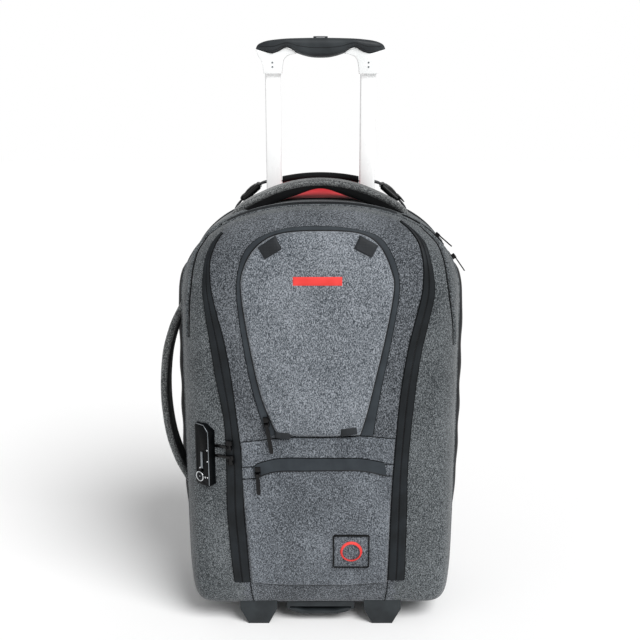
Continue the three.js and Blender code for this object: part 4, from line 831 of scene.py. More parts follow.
def cut_wheel_bays(obj):
    """Cuts the room for the two wheels out of a shell."""
    for side in (-1, 1):
        xs = sorted((side * WHEEL_BAY["inner"], side * WHEEL_BAY["outer"]))
        cut_box(obj, (xs[0], WHEEL_BAY["front"], 0), (xs[1], 120, WHEEL_BAY["top"]))


def on_wall(angle, y, lift, bulge):
    """A place on the ring wall's arch: angle 0 is level with the arch's foot on the right, 90 is the top."""
    turn = math.radians(angle)
    share = (y + HALF_DEPTH) / (2 * HALF_DEPTH)
    grow = bulge * (1 - (2 * share - 1) ** 4) - 0.5 + lift
    wide = math.copysign(abs(math.cos(turn)) ** (2 / ARCH_POWER), math.cos(turn))
    tall = abs(math.sin(turn)) ** (2 / ARCH_POWER)
    return Vector((wide * (HALF_WIDTH + grow), y, ARCH_START + tall * (ARCH_RISE + grow)))


# A band in section: (share of the way across, share of its height)
BAND_SECTION = ((0, -0.6), (0.04, 0.5), (0.2, 0.9), (0.5, 1.0), (0.8, 0.9), (0.96, 0.5), (1, -0.6))


def wall_band(start, end, front, rear, height, bulge, count=60):
    """A band with rounded edges on the arch between two angles; front and rear are y at both ends."""
    rows = []
    for i in range(count + 1):
        share = i / count
        y0 = front[0] + (front[1] - front[0]) * share
        y1 = rear[0] + (rear[1] - rear[0]) * share
        end_fade = min(1.0, min(i, count - i) / 4 + 0.15)
        row = []
        for across_share, rise in BAND_SECTION:
            row.append(on_wall(start + (end - start) * share, y0 + (y1 - y0) * across_share,
                               max(-0.6, rise * height * end_fade), bulge))
        rows.append(row)
    return loft(rows)


def build_wall_details(settings):
    """The flap, seam and dark tape of the zip on the right shoulder, and the flap on the left shoulder."""
    m = MATERIALS
    bulge = settings.wall_bulge
    piece("rear_zip_flap", wall_band(58, 30, (-34, -33), (-20, -18), 2.2, bulge), m["side_cloth"],
          smooth=70)
    seam = [on_wall(58 - 28 * i / 40, -34.5, 0.6, bulge) for i in range(41)]
    piece("rear_zip_flap_seam", tube(seam, 0.9, 8), m["seam_thread"], smooth=80)
    piece("left_shoulder_flap", wall_band(118, 142, (-36, -34), (-14, -18), 2.6, bulge), m["side_cloth"],
          smooth=70)
    piece("rear_zip_tape", wall_band(26, 0, (-40, -6), (-22, 12), 0.8, bulge), m["main_tape"],
          smooth=60)


# The seam near the rim of the front, where the rear compartment's rim shows beyond the front one
RIM_SEAM_LEFT = (
    (-0.7, 0.957), (-0.785, 0.934), (-0.8557, 0.9015), (-0.8773, 0.8808), (-0.8932, 0.8573), (-0.9037, 0.8264),
    (-0.9181, 0.791), (-0.9259, 0.7619), (-0.935, 0.7),
)
RIM_SEAM_RIGHT = (
    (0.69, 0.956), (0.7996, 0.9237), (0.8387, 0.903), (0.8639, 0.8778), (0.8837, 0.8387), (0.9006, 0.804),
    (0.9208, 0.7672), (0.9386, 0.7294), (0.948, 0.68),
)


def clothe_rim(front):
    """The cloth outside the main zips is the smoother, greener one of the ring wall."""
    front.data.materials.append(MATERIALS["side_cloth"])
    edges = {}
    for side, rows in ((-1, LEFT_ZIP), (1, RIGHT_ZIP)):
        edges[side] = curve([Vector((side * across((o + i) / 2), up(u))) for u, o, i in rows], 120)
    for face in front.data.polygons:
        spot = (face.center - ORIGIN) / MM
        line = edges[1 if spot.x > 0 else -1]
        near = min(line, key=lambda p: abs(p.y - spot.z))
        if spot.z < up(0.967) and abs(spot.x) > abs(near.x):
            face.material_index = 1
        elif spot.z >= up(0.967) and spot.y > -HALF_DEPTH - 14:
            face.material_index = 1


def build_body(settings):
    """The padded shells at the front and the back, and the ring wall between them."""
    m = MATERIALS
    count = 200
    front = piece(
        "front_shell_cloth", face_shape(FRONT, count, 3.5), m["shell_cloth"],
        stands_for=("front_shell",), smooth=70,
    )
    clothe_rim(front)
    for word, rows in (("left", RIM_SEAM_LEFT), ("right", RIM_SEAM_RIGHT)):
        line, _ = on_skin(FRONT, curve(shares(rows), 60), 0.1)
        piece(f"rim_seam_{word}", tube(line, 1.0, 8, flat=0.6), m["seam_thread"], smooth=80)
        line, _ = on_skin(FRONT, curve([Vector((p.x * 1.018, p.y)) for p in shares(rows)], 60), 0.2)
        piece(f"rim_roll_{word}", tube(line, 2.2, 10, flat=0.6), m["side_cloth"], smooth=80)
    back = piece(
        "back_shell_cloth", face_shape(BACK, count, 3.5), m["black_cloth"],
        stands_for=("back_shell",), smooth=70,
    )
    cut_wheel_bays(back)

    # The ring wall between the two faces: foam between cloths, so it swells a little between its seams.
    rows = []
    steps = 14
    for i in range(steps + 1):
        share = i / steps
        y = -HALF_DEPTH + 0.4 + share * (2 * HALF_DEPTH - 0.8)
        bulge = settings.wall_bulge * (1 - (2 * share - 1) ** 4) - 0.5
        rows.append([
            Vector((x, y, z)) + Vector((x, 0, (z - 270) * 0.6)).normalized() * (0.5 * ripple(x, y, z))
            for x, z, _ in outline(-bulge, count)
        ])
    rows.insert(0, [Vector((x, -HALF_DEPTH + 0.6, z)) for x, z, _ in outline(4, count)])
    rows.append([Vector((x, HALF_DEPTH - 0.6, z)) for x, z, _ in outline(4, count)])
    wall = piece(
        "gusset_cloth", loft(rows, close_columns=True), m["side_cloth"],
        stands_for=("gusset",), smooth=70,
    )
    cut_wheel_bays(wall)
    for side in (-1, 1):
        x = side * TUBE_X
        cut_box(
            wall,
            (x - TUBE_BAY["wide"], TUBE_Y - TUBE_BAY["deep"], BODY_TOP - 60),
            (x + TUBE_BAY["wide"], TUBE_Y + TUBE_BAY["deep"], BODY_TOP + 20),
        )

    build_wall_details(settings)

    # Piping sewn into the two seams of the wall
    for name, y, finish in (("front", -HALF_DEPTH, "side_cloth"), ("back", HALF_DEPTH, "piping")):
        line = [Vector((x, y, z)) for x, z, _ in outline(-0.1, count)]
        cord = piece(f"piping_{name}", tube(line, settings.piping_radius, 8, closed=True), m[finish],
                     smooth=80)
        if name == "back":
            cut_wheel_bays(cord)


# The front panels


def rim_height(distance, height, soft=5.0):
    """The height of a padded panel at a distance in from its sewn edge."""
    if distance <= 0:
        return -0.4
    return height * min(1.0, (1 - (1 - min(1.0, distance / soft)) ** 2.2) * 0.92 + min(1.0, distance / 45) * 0.08)


def build_panels(settings):
    """The front pocket's panel and the lower pocket."""
    m = MATERIALS
    inner = curve(shares(ARCH_INNER), 120)
    base = resample([inner[-1], inner[0]], 30)[1:-1]
    edge = inner + base
    centre = Vector((across(-0.02), up(0.72)))
    pocket = piece(
        "front_pocket_cloth",
        panel(FRONT, edge, centre, lambda d: rim_height(d, settings.panel_height), (0, 0.5, 1.4, 3, 6, 10),
              (0.12, 0.26, 0.4, 0.55, 0.7, 0.85, 0.94)),
        m["panel_cloth"], stands_for=("front_pocket",), smooth=70,
    )

    corners = shares(LOWER_EDGE)
    top = resample(corners[0:4], 46)
    right = curve(corners[3:7], 46)[1:]
    low = resample(corners[6:10], 46)[1:]
    left = curve(corners[9:] + [corners[0]], 46)[1:-1]
    lower_edge = top + right + low + left
    lower = piece(
        "lower_pocket_cloth",
        panel(FRONT, lower_edge, Vector((across(-0.01), up(0.26))),
              lambda d: rim_height(d, LOWER_HEIGHT, 3.5), (0, 0.5, 1.2, 2.4, 4, 8),
              (0.12, 0.26, 0.4, 0.55, 0.7, 0.85, 0.94)),
        m["panel_low_cloth"], stands_for=("lower_pocket",), smooth=70,
    )

    # Sewn lines: dark thread sunk beside each edge of the panels, and the seams that run on below the zips
    runs = {
        "cross_seam": top,
        "base_seam": low,
        "left_low_seam": curve(shares([(-0.527, 0.0828), (-0.52, 0.0505), (-0.5, 0.0141)]), 14),
        "right_low_seam": curve(shares([(0.505, 0.0838), (0.5, 0.0505), (0.485, 0.0141)]), 14),
        "left_short_seam_a": curve(shares([(-0.57, 0.396), (-0.49, 0.398)]), 8),
        "left_short_seam_b": curve(shares([(-0.565, 0.3656), (-0.472, 0.3677)]), 8),
        "right_short_seam_a": curve(shares([(0.46, 0.405), (0.525, 0.404)]), 8),
        "right_short_seam_b": curve(shares([(0.478, 0.3747), (0.522, 0.3737)]), 8),
    }
    for name, flat in runs.items():
        high = LOWER_HEIGHT if "short" in name else 0.3
        line, _ = on_skin(FRONT, flat, high)
        piece(name, tube(line, 0.55, 6), m["seam_thread"], smooth=80)


TAPE_PROFILE = (
    (0.0, -0.5), (0.01, 0.7), (0.05, 1.35), (0.2, 1.7), (0.4, 1.75), (0.455, 1.5), (0.47, 0.7),
    (0.53, 0.7), (0.545, 1.5), (0.6, 1.75), (0.8, 1.7), (0.95, 1.35), (0.99, 0.7), (1.0, -0.5),
)


def build_zips(settings):
    """The zips with their tapes, teeth and stitching."""
    m = MATERIALS
    for word, side, rows in (("left", -1, LEFT_ZIP), ("right", 1, RIGHT_ZIP)):
        outer = curve([Vector((side * across(o), up(u))) for u, o, _ in rows], 90)
        inner = curve([Vector((side * across(i), up(u))) for u, _, i in rows], 90)
        piece(f"main_zip_tape_{word}", strip(FRONT, outer, inner, TAPE_PROFILE), m["main_tape"],
              stands_for=(f"main_zip_{word}",))
        middle = [a.lerp(b, 0.5) for a, b in zip(outer, inner)]
        line, outs = on_skin(FRONT, middle, 0.75)
        piece(f"main_zip_coil_{word}",
              along_line(line, outs, settings.tooth_pitch, 2.3, 1.15, 0.75, turn=True), m["coil"])
        for k, share in enumerate((0.02, 0.98)):
            line, _ = on_skin(FRONT, [a.lerp(b, share) for a, b in zip(outer, inner)], 0.6)
            piece(f"main_zip_edge_{word}_{k}", tube(line, 0.75, 6), m["seam_thread"], smooth=80)
        for k, share in enumerate((0.36, 0.64)):
            flat = [a.lerp(b, share) for a, b in zip(outer, inner)]
            line, outs = on_skin(FRONT, flat, 1.6)
            piece(f"main_zip_stitch_{word}_{k}",
                  along_line(line, outs, settings.stitch_pitch, settings.stitch_pitch * 0.66, 0.5, 0.28),
                  m["thread"])

    # The arched tape is a cover flap, so no teeth show: a dark line at its inner edge is where it opens.
    outer = curve(shares(ARCH_OUTER), 150)
    inner = curve(shares(ARCH_INNER), 150)
    flap = ((0.0, -0.5), (0.02, 0.9), (0.1, 1.7), (0.5, 1.95), (0.86, 1.8), (0.97, 1.2), (1.0, -0.5))
    piece("front_pocket_flap", strip(FRONT, outer, inner, flap), m["pocket_tape"],
          stands_for=("front_pocket_zip",))
    line, _ = on_skin(FRONT, inner, 0.9)
    piece("front_pocket_opening", tube(line, 0.9, 8), m["coil"], smooth=80)
    line, _ = on_skin(FRONT, outer, 0.5)
    piece("front_pocket_edge", tube(line, 0.5, 6), m["seam_thread"], smooth=80)

    top = curve(shares(LOWER_ZIP_TOP), 70)
    low = curve(shares(LOWER_ZIP_LOW), 70)
    flap = ((0.0, 2.0), (0.04, 3.9), (0.2, 4.3), (0.6, 4.4), (0.93, 4.2), (0.99, 3.4), (1.0, 1.6))
    piece("lower_pocket_flap", strip(FRONT, top, low, flap), m["pocket_tape"],
          stands_for=("lower_pocket_zip",))
    line, _ = on_skin(FRONT, low, 3.4)
    piece("lower_pocket_opening", tube(line, 0.8, 8), m["coil"], smooth=80)
    line, _ = on_skin(FRONT, top, 3.2)
    piece("lower_pocket_edge", tube(line, 0.5, 6), m["seam_thread"], smooth=80)

    # The main zip runs over the top of the wall, in front of the carrying handle.
    count = 90
    low_share, high_share = -0.66, 0.54
    rows = []
    profile = ((-51.2, -0.3), (-50.8, 0.9), (-47, 1.5), (-43.4, 1.6), (-42.8, 0.7), (-41.4, 0.7),
               (-40.8, 1.6), (-37, 1.5), (-32.9, 0.9), (-32.5, -0.3))
    xs = [across(low_share + (high_share - low_share) * i / count) for i in range(count + 1)]

    def on_top(x, y, lift):
        wide = abs(x) / HALF_WIDTH
        z = ARCH_START + ARCH_RISE * (1 - wide**ARCH_POWER) ** (1 / ARCH_POWER)
        slope = (wide ** (ARCH_POWER - 1)) * (ARCH_RISE / HALF_WIDTH) * math.copysign(1, x)
        normal = Vector((slope, 0, 1)).normalized()
        return Vector((x, y, z)) + normal * (lift + 0.9), normal

    for x in xs:
        rows.append([on_top(x, y, lift)[0] for y, lift in profile])
    piece("main_zip_tape_top", loft(rows), m["main_tape"], stands_for=("main_zip_top",))
    pairs = [on_top(x, -42.1, 0.75) for x in xs]
    piece("main_zip_coil_top",
          along_line([p for p, _ in pairs], [n for _, n in pairs], settings.tooth_pitch,
                     2.3, 1.15, 0.75, turn=True),
          m["coil"])


def build_badges(settings):
    """The webbing loops, the square patch and the plain stitched bar."""
    m = MATERIALS
    for name, a, u, turn, wide, tall in LOOPS:
        angle = math.radians(turn)
        rows = []
        along, upward = Vector((math.cos(angle), math.sin(angle))), Vector((-math.sin(angle), math.cos(angle)))
        centre = Vector((across(a), up(u)))
        lower = "lower" in name
        base = 5.0 if not lower else 4.4
        for i in range(15):
            t = -1 + 2 * i / 14
            row = []
            for k in range(9):
                s = -1 + 2 * k / 8
                at = centre + along * (t * wide / 2) + upward * (s * tall / 2)
                # folded webbing: thickest at the fold below, thin where it goes into the seam above
                lift = base + 3.0 * math.sqrt(max(0.0, 1 - abs(t) ** 8)) * (0.72 - 0.28 * s) * (1 - abs(s) ** 12)
                row.append(skin(FRONT, at.x, at.y, lift)[0])
            rows.append(row)
        rows.insert(0, [skin(FRONT, *(centre + along * (-wide / 2) + upward * (s / 4 * tall / 2)), 1.0)[0]
                        for s in range(-4, 5)])
        rows.append([skin(FRONT, *(centre + along * (wide / 2) + upward * (s / 4 * tall / 2)), 1.0)[0]
                     for s in range(-4, 5)])
        piece(name + "_webbing", loft(rows), m["webbing"], stands_for=(name,), smooth=50)

    size = 45.0
    centre = Vector((across(0.227), up(0.1778)))

    def square(half, corner, count=16):
        points = []
        for sx, sy in ((1, 1), (-1, 1), (-1, -1), (1, -1)):
            for i in range(count // 4 + 1):
                corner_turn = {(1, 1): 0, (-1, 1): 90, (-1, -1): 180, (1, -1): 270}[(sx, sy)]
                angle = math.radians(corner_turn + 90 * i / (count // 4))
                points.append(centre + Vector((sx * (half - corner) + corner * math.cos(angle),
                                               sy * (half - corner) + corner * math.sin(angle))))
        points.append(points[0])
        return resample(points, 97)[:-1]

    edge = square(size / 2, 1.5)
    piece("patch_cloth",
          panel(FRONT, edge, centre, lambda d: 3.2 if d <= 0 else LOWER_HEIGHT + 0.35 + rim_height(d, 1.0, 1.0),
                (0, 0.4, 1), (0.25, 0.5, 0.75)),
          m["panel_low_cloth"], stands_for=("patch",), smooth=60)
    line, _ = on_skin(FRONT, square(size / 2 - 1.3, 1.2), 4.5)
    piece("patch_border", tube(line, 1.6, 8, closed=True, flat=0.5), m["lining"], smooth=80)
    ring = [centre + Vector((12.0 * math.cos(a), 12.0 * math.sin(a))) for a in
            [2 * math.pi * i / 48 for i in range(48)]]
    line, _ = on_skin(FRONT, ring, 4.7)
    piece("patch_ring", tube(line, 2.1, 8, closed=True, flat=0.45), m["red_thread"], smooth=80)

    rows = []
    for i in range(61):
        x = -30.6 + 54.6 * i / 60
        row = []
        for k in range(7):
            z = 439.4 + (-1 + 2 * k / 6) * 4.8
            lift = PANEL_HEIGHT + (0.1 if k in (0, 6) or i in (0, 60) else 0.75 + 0.12 * math.cos(i * math.pi))
            row.append(skin(FRONT, x, z, lift)[0])
        rows.append(row)
    piece("stitched_bar", loft(rows), m["red_thread"], smooth=50)


# Carrying handles


def swept(line, wide_axis, width, thick, lift_axis, corner=0.45, ends=True):
    """A pad of rounded section along a line: wide along one fixed axis."""
    rings = []
    sides = 24
    for i, here in enumerate(line):
        before, after = line[max(0, i - 1)], line[min(len(line) - 1, i + 1)]
        along = (after - before).normalized()
        out = along.cross(wide_axis).normalized()
        if out.dot(lift_axis(here)) < 0:
            out.negate()
        shrink = 1.0
        if ends:
            share = min(i, len(line) - 1 - i) / 3
            shrink = min(1.0, 0.55 + 0.45 * share)
        ring = []
        for k in range(sides):
            angle = 2 * math.pi * k / sides
            c, s = math.cos(angle), math.sin(angle)
            w = math.copysign(abs(c) ** corner, c) * width / 2
            t = math.copysign(abs(s) ** corner, s) * thick / 2
            ring.append(here + wide_axis * w + out * t * shrink)
        rings.append(ring)
    points, faces = loft(rings, close_columns=True)
    faces.append(tuple(reversed(range(sides))))
    faces.append(tuple(range(len(points) - sides, len(points))))
    return points, faces


HANDLE_LINE = (
    (0, 1), (0.224, 0.914), (0.449, 0.672), (0.664, 0.297), (0.776, 0.06), (0.888, -0.24), (1, -0.69),
)
SIDE_HANDLE_LINE = ((0, 1), (0.22, 0.96), (0.44, 0.84), (0.66, 0.6), (0.8, 0.36), (0.93, 0.1), (1, 0))


HANDLE_Y = -8.0
# The lining's section: shares across and down
LINING_SECTION = (
    (-1, 0), (-0.98, 0.5), (-0.94, 0.92), (-0.85, 1), (-0.4, 0.9), (0.4, 0.9), (0.85, 1), (0.94, 0.92),
    (0.98, 0.5), (1, 0), (0.5, -0.1), (-0.5, -0.1),
)


def mirrored(rows):
    """The rows with their mirror image before them, the first row not repeated."""
    return [(-a, b) for a, b in reversed(rows[1:])] + list(rows)


def build_handles(settings):
    """The two carrying handles with their linings."""
    m = MATERIALS
    y_axis = Vector((0, 1, 0))
    top = [Vector((a * 107, HANDLE_Y, BODY_TOP + b * 25.6 - 3.7)) for a, b in mirrored(HANDLE_LINE)]
    line = curve(top, 60)
    pad = piece("top_handle_pad", swept(line, y_axis, 33, 7.0, lambda p: Vector((0, 0, 1))), m["handle_cloth"],
                stands_for=("top_handle",), smooth=70)
    puff(pad, 2.2, settings.pad_pressure, 1.2)
    # The lining hangs in a curtain under the pad, shallow in the middle and deep towards the ends.
    rings = []
    for p in line[4:-4]:
        drop = 4.0 + 5.4 * smoothstep(abs(p.x), 0, 36) + 3.0 * smoothstep(abs(p.x), 36, 80)
        ring = [Vector((p.x * 0.98, HANDLE_Y + w * 14, p.z - 2.6 - drop * d)) for w, d in LINING_SECTION]
        rings.append(ring)
    points, faces = loft(rings, close_columns=True)
    wide = len(LINING_SECTION)
    faces.append(tuple(reversed(range(wide))))
    faces.append(tuple(range(len(points) - wide, len(points))))
    piece("top_handle_webbing", (points, faces), m["lining"],
          stands_for=("top_handle_lining",), smooth=60)
    for k, y in enumerate((HANDLE_Y - 13.5, HANDLE_Y + 13.5)):
        run = [Vector((p.x, y, p.z + 3.7)) for p in line[4:-4]]
        outs = [Vector((0, 0, 1)) for _ in run]
        piece(f"top_handle_stitch_{k}",
              along_line(run, outs, settings.stitch_pitch, settings.stitch_pitch * 0.66, 0.6, 0.35), m["thread"])

    side = [Vector((-HALF_WIDTH - b * 36.5 + 3.7, -9, 276 + a * 131)) for a, b in mirrored(SIDE_HANDLE_LINE)]
    line = curve(side, 70)
    pad = piece("side_handle_pad", swept(line, y_axis, 29, 7.0, lambda p: Vector((-1, 0, 0))), m["handle_cloth"],
                stands_for=("side_handle",), smooth=70)
    puff(pad, 2.2, settings.pad_pressure, 1.2)
    low = [Vector((p.x + 5.6, p.y, p.z)) for p in line][5:-5]
    piece("side_handle_webbing", swept(low, y_axis, 25, 3.0, lambda p: Vector((-1, 0, 0))), m["lining"],
          stands_for=("side_handle_lining",), smooth=60)


# Side pockets


POCKET_LINE = ((0, 0), (0.72, 0.03), (0.97, 0.27), (0.96, 0.72), (0.9, 0.87), (0.68, 0.95), (0.36, 0.985), (0, 1))


def build_side_pockets(settings):
    """The stretched pocket on each side, with its binding."""
    m = MATERIALS
    outs = curve([Vector((a * 20, 88 + b * 350)) for a, b in POCKET_LINE], 64)
    for word, side in (("left", -1), ("right", 1)):
        rows = []
        for p in outs:
            row = []
            for k in range(21):
                t = -1 + 2 * k / 20
                bow = (1 - abs(t) ** 3.2) ** 0.6
                y = 31 + t * 19.5
                fold = 0.7 * math.sin(p.y / 9.0 + 2.0 * t) * bow * math.sin(math.pi * (p.y - 88) / 350)
                row.append(Vector((side * (HALF_WIDTH - 1 + max(0.0, p.x - 0.4) * bow + fold), y, p.y)))
            rows.append(row)
        pocket = piece(f"side_pocket_cloth_{word}", loft(rows), m["black_cloth"],
                       stands_for=(f"side_pocket_{word}",), smooth=70)
        edge = [Vector((side * (HALF_WIDTH + 1.0), 12.0, p.y)) for p in outs]
        piece(f"side_pocket_binding_{word}", tube(edge, 1.4, 8, flat=0.8), m["lining"],
              smooth=80)


# The harness at the back


LIFTER_LINE = ((48.35, 530), (74, 528), (103, 503), (108, 492))
STRAP_LINE = ((0, 0), (0.09, 0.36), (0.22, 0.78), (0.42, 1), (0.66, 0.86), (0.86, 0.55), (1, 0.32))
BACK_SKIN = HALF_DEPTH + BACK["rise"] + BACK["belly"]
PAD_SKIN = BACK_SKIN + 9.35


def rounded_box(wide, tall, corner, centre, count):
    """The outline of a rectangle with rounded corners."""
    points = []
    for turn, (sx, sy) in enumerate(((1, 1), (-1, 1), (-1, -1), (1, -1))):
        for i in range(9):
            angle = (turn + i / 8) * math.pi / 2
            points.append(centre + Vector((sx * (wide / 2 - corner) + corner * math.cos(angle),
                                           sy * (tall / 2 - corner) + corner * math.sin(angle))))
    points.append(points[0])
    return resample(points, count + 1)[:-1]


def build_harness(settings):
    """The back pad, the shoulder straps and the load lifters."""
    m = MATERIALS
    x_axis = Vector((1, 0, 0))
    centre = Vector((0, 283))
    edge = rounded_box(214, 388, 36, centre, 160)

    def pad_height(distance, z):
        rim = 8.6 * (1 - (1 - min(1.0, distance / 12)) ** 2.2)
        channel = 2.6 * math.exp(-(((z - 283 + 65) % 130 - 65) / 7.0) ** 2) if distance > 6 else 0
        return max(0.2, rim - channel * min(1.0, (distance - 6) / 10))

    rows = []
    for distance in (0, 1, 2.5, 5, 9, 14, 20, 28, 38, 50, 64, 78, 92, 104, 107):
        row = []
        for p in edge:
            limit = Vector((max(-107 + distance, min(107 - distance, p.x)),
                            max(89 + distance, min(477 - distance, p.y))))
            row.append(skin(BACK, limit.x, limit.y, pad_height(distance, limit.y))[0])
        rows.append(row)
    shape = loft(rows, close_columns=True)
    pad = piece("back_pad_mesh", shape, m["mesh"], stands_for=("back_pad",), smooth=70)
    line, _ = on_skin(BACK, edge, 1.2)
    piece("back_pad_binding", tube(line, 1.9, 8, closed=True), m["lining"], smooth=80)

    start = PAD_SKIN + 6.5
    for word, side in (("left", -1), ("right", 1)):
        x = side * 66.0
        line = curve([Vector((x, start + out * 24, 498 - down * 302)) for down, out in STRAP_LINE], 70)
        pad = piece(f"shoulder_strap_pad_{word}", swept(line, x_axis, 56, 9.4, lambda p: Vector((0, 1, 0)), 0.4),
                    m["mesh"], stands_for=(f"shoulder_strap_{word}",), smooth=70)
        puff(pad, 3.0, settings.pad_pressure, 2.0)
        for k, off in enumerate((-27.5, 27.5)):
            edge_line = [Vector((x + off, p.y, p.z)) for p in line]
            piece(f"shoulder_strap_binding_{word}_{k}", tube(edge_line, 2.4, 8, flat=1.0), m["lining"],
                  smooth=80)
        spine = [p + Vector((0, 5.6, 0)) for p in line[3:-2]]
        piece(f"shoulder_strap_webbing_{word}", swept(spine, x_axis, 25, 1.6, lambda p: Vector((0, 1, 0)), 0.3),
              m["webbing"], smooth=60)
        end = line[-1]
        web = curve([
            Vector((x, end.y, end.z + 8)), Vector((x, end.y - 3, 136)),
            Vector((x, PAD_SKIN + 1.6, 92)), Vector((x, BACK_SKIN - 1, 56)),
        ], 40)
        piece(f"lower_webbing_{word}", swept(web, x_axis, 24.5, 1.8, lambda p: Vector((0, 1, 0)), 0.3),
              m["webbing"], smooth=60)
        build_ladder(f"strap_ladder_{word}", Vector((x, end.y - 0.6, end.z - 8)),
                     x_axis, Vector((0, 0, 1)), 32, 26, 1.2, Vector((0, 1, 0)))
        # The strap's root: cloth that goes down behind the yoke
        root = [
            [Vector((x + w * 28 * s, y, z)) for w in [-1 + 2 * k / 10 for k in range(11)]]
            for s, y, z in ((1, start - 4.7, 499), (1, start - 5, 503), (0.99, 74, 503), (0.98, 64, 502),
                            (0.97, 62, 496), (0.97, 66, 482), (1, start - 6, 482))
        ]
        piece(f"strap_root_{word}", loft(root), m["black_cloth"], smooth=50)

    build_yoke(settings)
    for word, side in (("left", -1), ("right", 1)):
        bend = [Vector((side * x, 62, z)) for x, z in LIFTER_LINE]
        piece(f"load_lifter_webbing_{word}",
              swept(curve(bend, 40), Vector((0, 1, 0)), 20, 2.4, lambda p: Vector((0, 0, 1)), 0.3),
              m["webbing"], stands_for=(f"load_lifter_{word}",), smooth=60)
        along = (bend[2] - bend[1]).normalized()
        out = Vector((-along.z * side, 0, along.x * side))
        build_ladder(f"lifter_ladder_{word}", bend[1].lerp(bend[2], 0.42), Vector((0, 1, 0)),
                     along, 27, 24, 2.3, out,
                     10 if word == "right" else 0)


def build_ladder(name, middle, wide, along, width, length, bulk, out, tail=0):
    """A ladder-lock buckle: a frame with two cross bars and a lip, moulded in acetal. Bulk scales its bars."""
    parts = []
    half_w, half_l = width / 2, length / 2
    for s in (-1, 1):
        rail = [middle + wide * (s * (half_w - 1.6)) + along * (half_l * t) for t in (-1, -0.5, 0, 0.5, 1)]
        parts.append(tube(rail, 1.7 * bulk, 10))
    for t, r in ((-half_l + 1.4, 1.6), (-0.5, 1.5), (half_l - 1.6, 1.9)):
        rung = [middle + along * t + wide * (s * (half_w - 1.2)) + out * (0.9 * (1 - abs(s)))
                for s in (-1, -0.5, 0, 0.5, 1)]
        parts.append(tube(rung, r * bulk, 10))
    fold_rise = ((-1.1, 0.4), (-0.6, 2.6), (0, 3.4), (0.6, 2.6), (1.1, 0.6))
    fold = [middle + along * (half_l * t) + out * h for t, h in fold_rise]
    parts.append(swept(curve(fold, 14), wide, width - 7, 2.2 * bulk, lambda p: out, 0.3))
    lip = [middle + along * (half_l + 1.2) + out * 2.0 + wide * (s * (half_w - 3.5)) for s in (-1, -0.5, 0, 0.5, 1)]
    parts.append(tube(lip, 1.3 * bulk, 10))
    if tail:
        end = middle + along * (half_l + tail) + out * 3.2
        strap = curve([middle + out * 2.6, middle + along * half_l + out * 3.6, end], 16)
        parts.append(swept(strap, wide, width - 8, 2.2, lambda p: out, 0.3))
    return piece(name, merged(parts), MATERIALS["buckle"], smooth=60)


YOKE_PATH = (
    (-14, 520), (46.5, 520), (57, 528), (62, 532), (66, 534.5), (74, 534.5), (77.4, 527), (84.4, 499), (83.4, 483),
)


def build_yoke(settings):
    """The red cloth that bridges the tubes at the top of the back, with its black bound rim."""
    m = MATERIALS
    half = 48.0
    path = curve([Vector((0, y, z)) for y, z in YOKE_PATH], 60)
    rows = []
    for p in path:
        row = []
        for k in range(33):
            t = -1 + 2 * k / 32
            x = t * half
            drop = 5 * t * t * smoothstep(p.z, 500, 534) + 1.2 * abs(t) ** 10
            if p.y < 58:
                limit = 42 if abs(p.y - TUBE_Y) < 16 else half
                x = max(-limit, min(limit, x))
            row.append(Vector((x, p.y, p.z - drop)))
        rows.append(row)
    yoke = piece("yoke_cloth", loft(rows), m["red_cloth"], stands_for=("yoke",), smooth=60)
    rim = [Vector((t / 24 * half, 69.5, 536.6 - 5 * (t / 24) ** 2)) for t in range(-24, 25)]
    rings = []
    for p in rim:
        rings.append([p + Vector((0, 7.5 * math.cos(a), 4.3 * math.sin(a)))
                      for a in [2 * math.pi * i / 20 for i in range(20)]])
    points, faces = loft(rings, close_columns=True)
    faces.append(tuple(reversed(range(20))))
    faces.append(tuple(range(len(points) - 20, len(points))))
    piece("yoke_rim", (points, faces), m["lining"], stands_for=("yoke_binding",), smooth=60)


# The lock and the sliders


LOCK_TURN = math.radians(40)
LOCK_KEY = {"depth": 2.0, "across": -4.9, "up": -28.5}
LOCK_EDGE = ((-8.5, 37.6), (3.4, 37.6), (10.4, 30.2), (10.6, 20), (10.6, -36.5))
# Places and radii of bright nickel dots on the lock's face: painted highlights
LOCK_HIGHLIGHT_DOTS = ((4.2, -27.5, 1.3), (8, -27, 1.1), (-4.6, -17.5, 1.1), (8.6, 7.5, 1.2), (8.6, -6.5, 1.0))


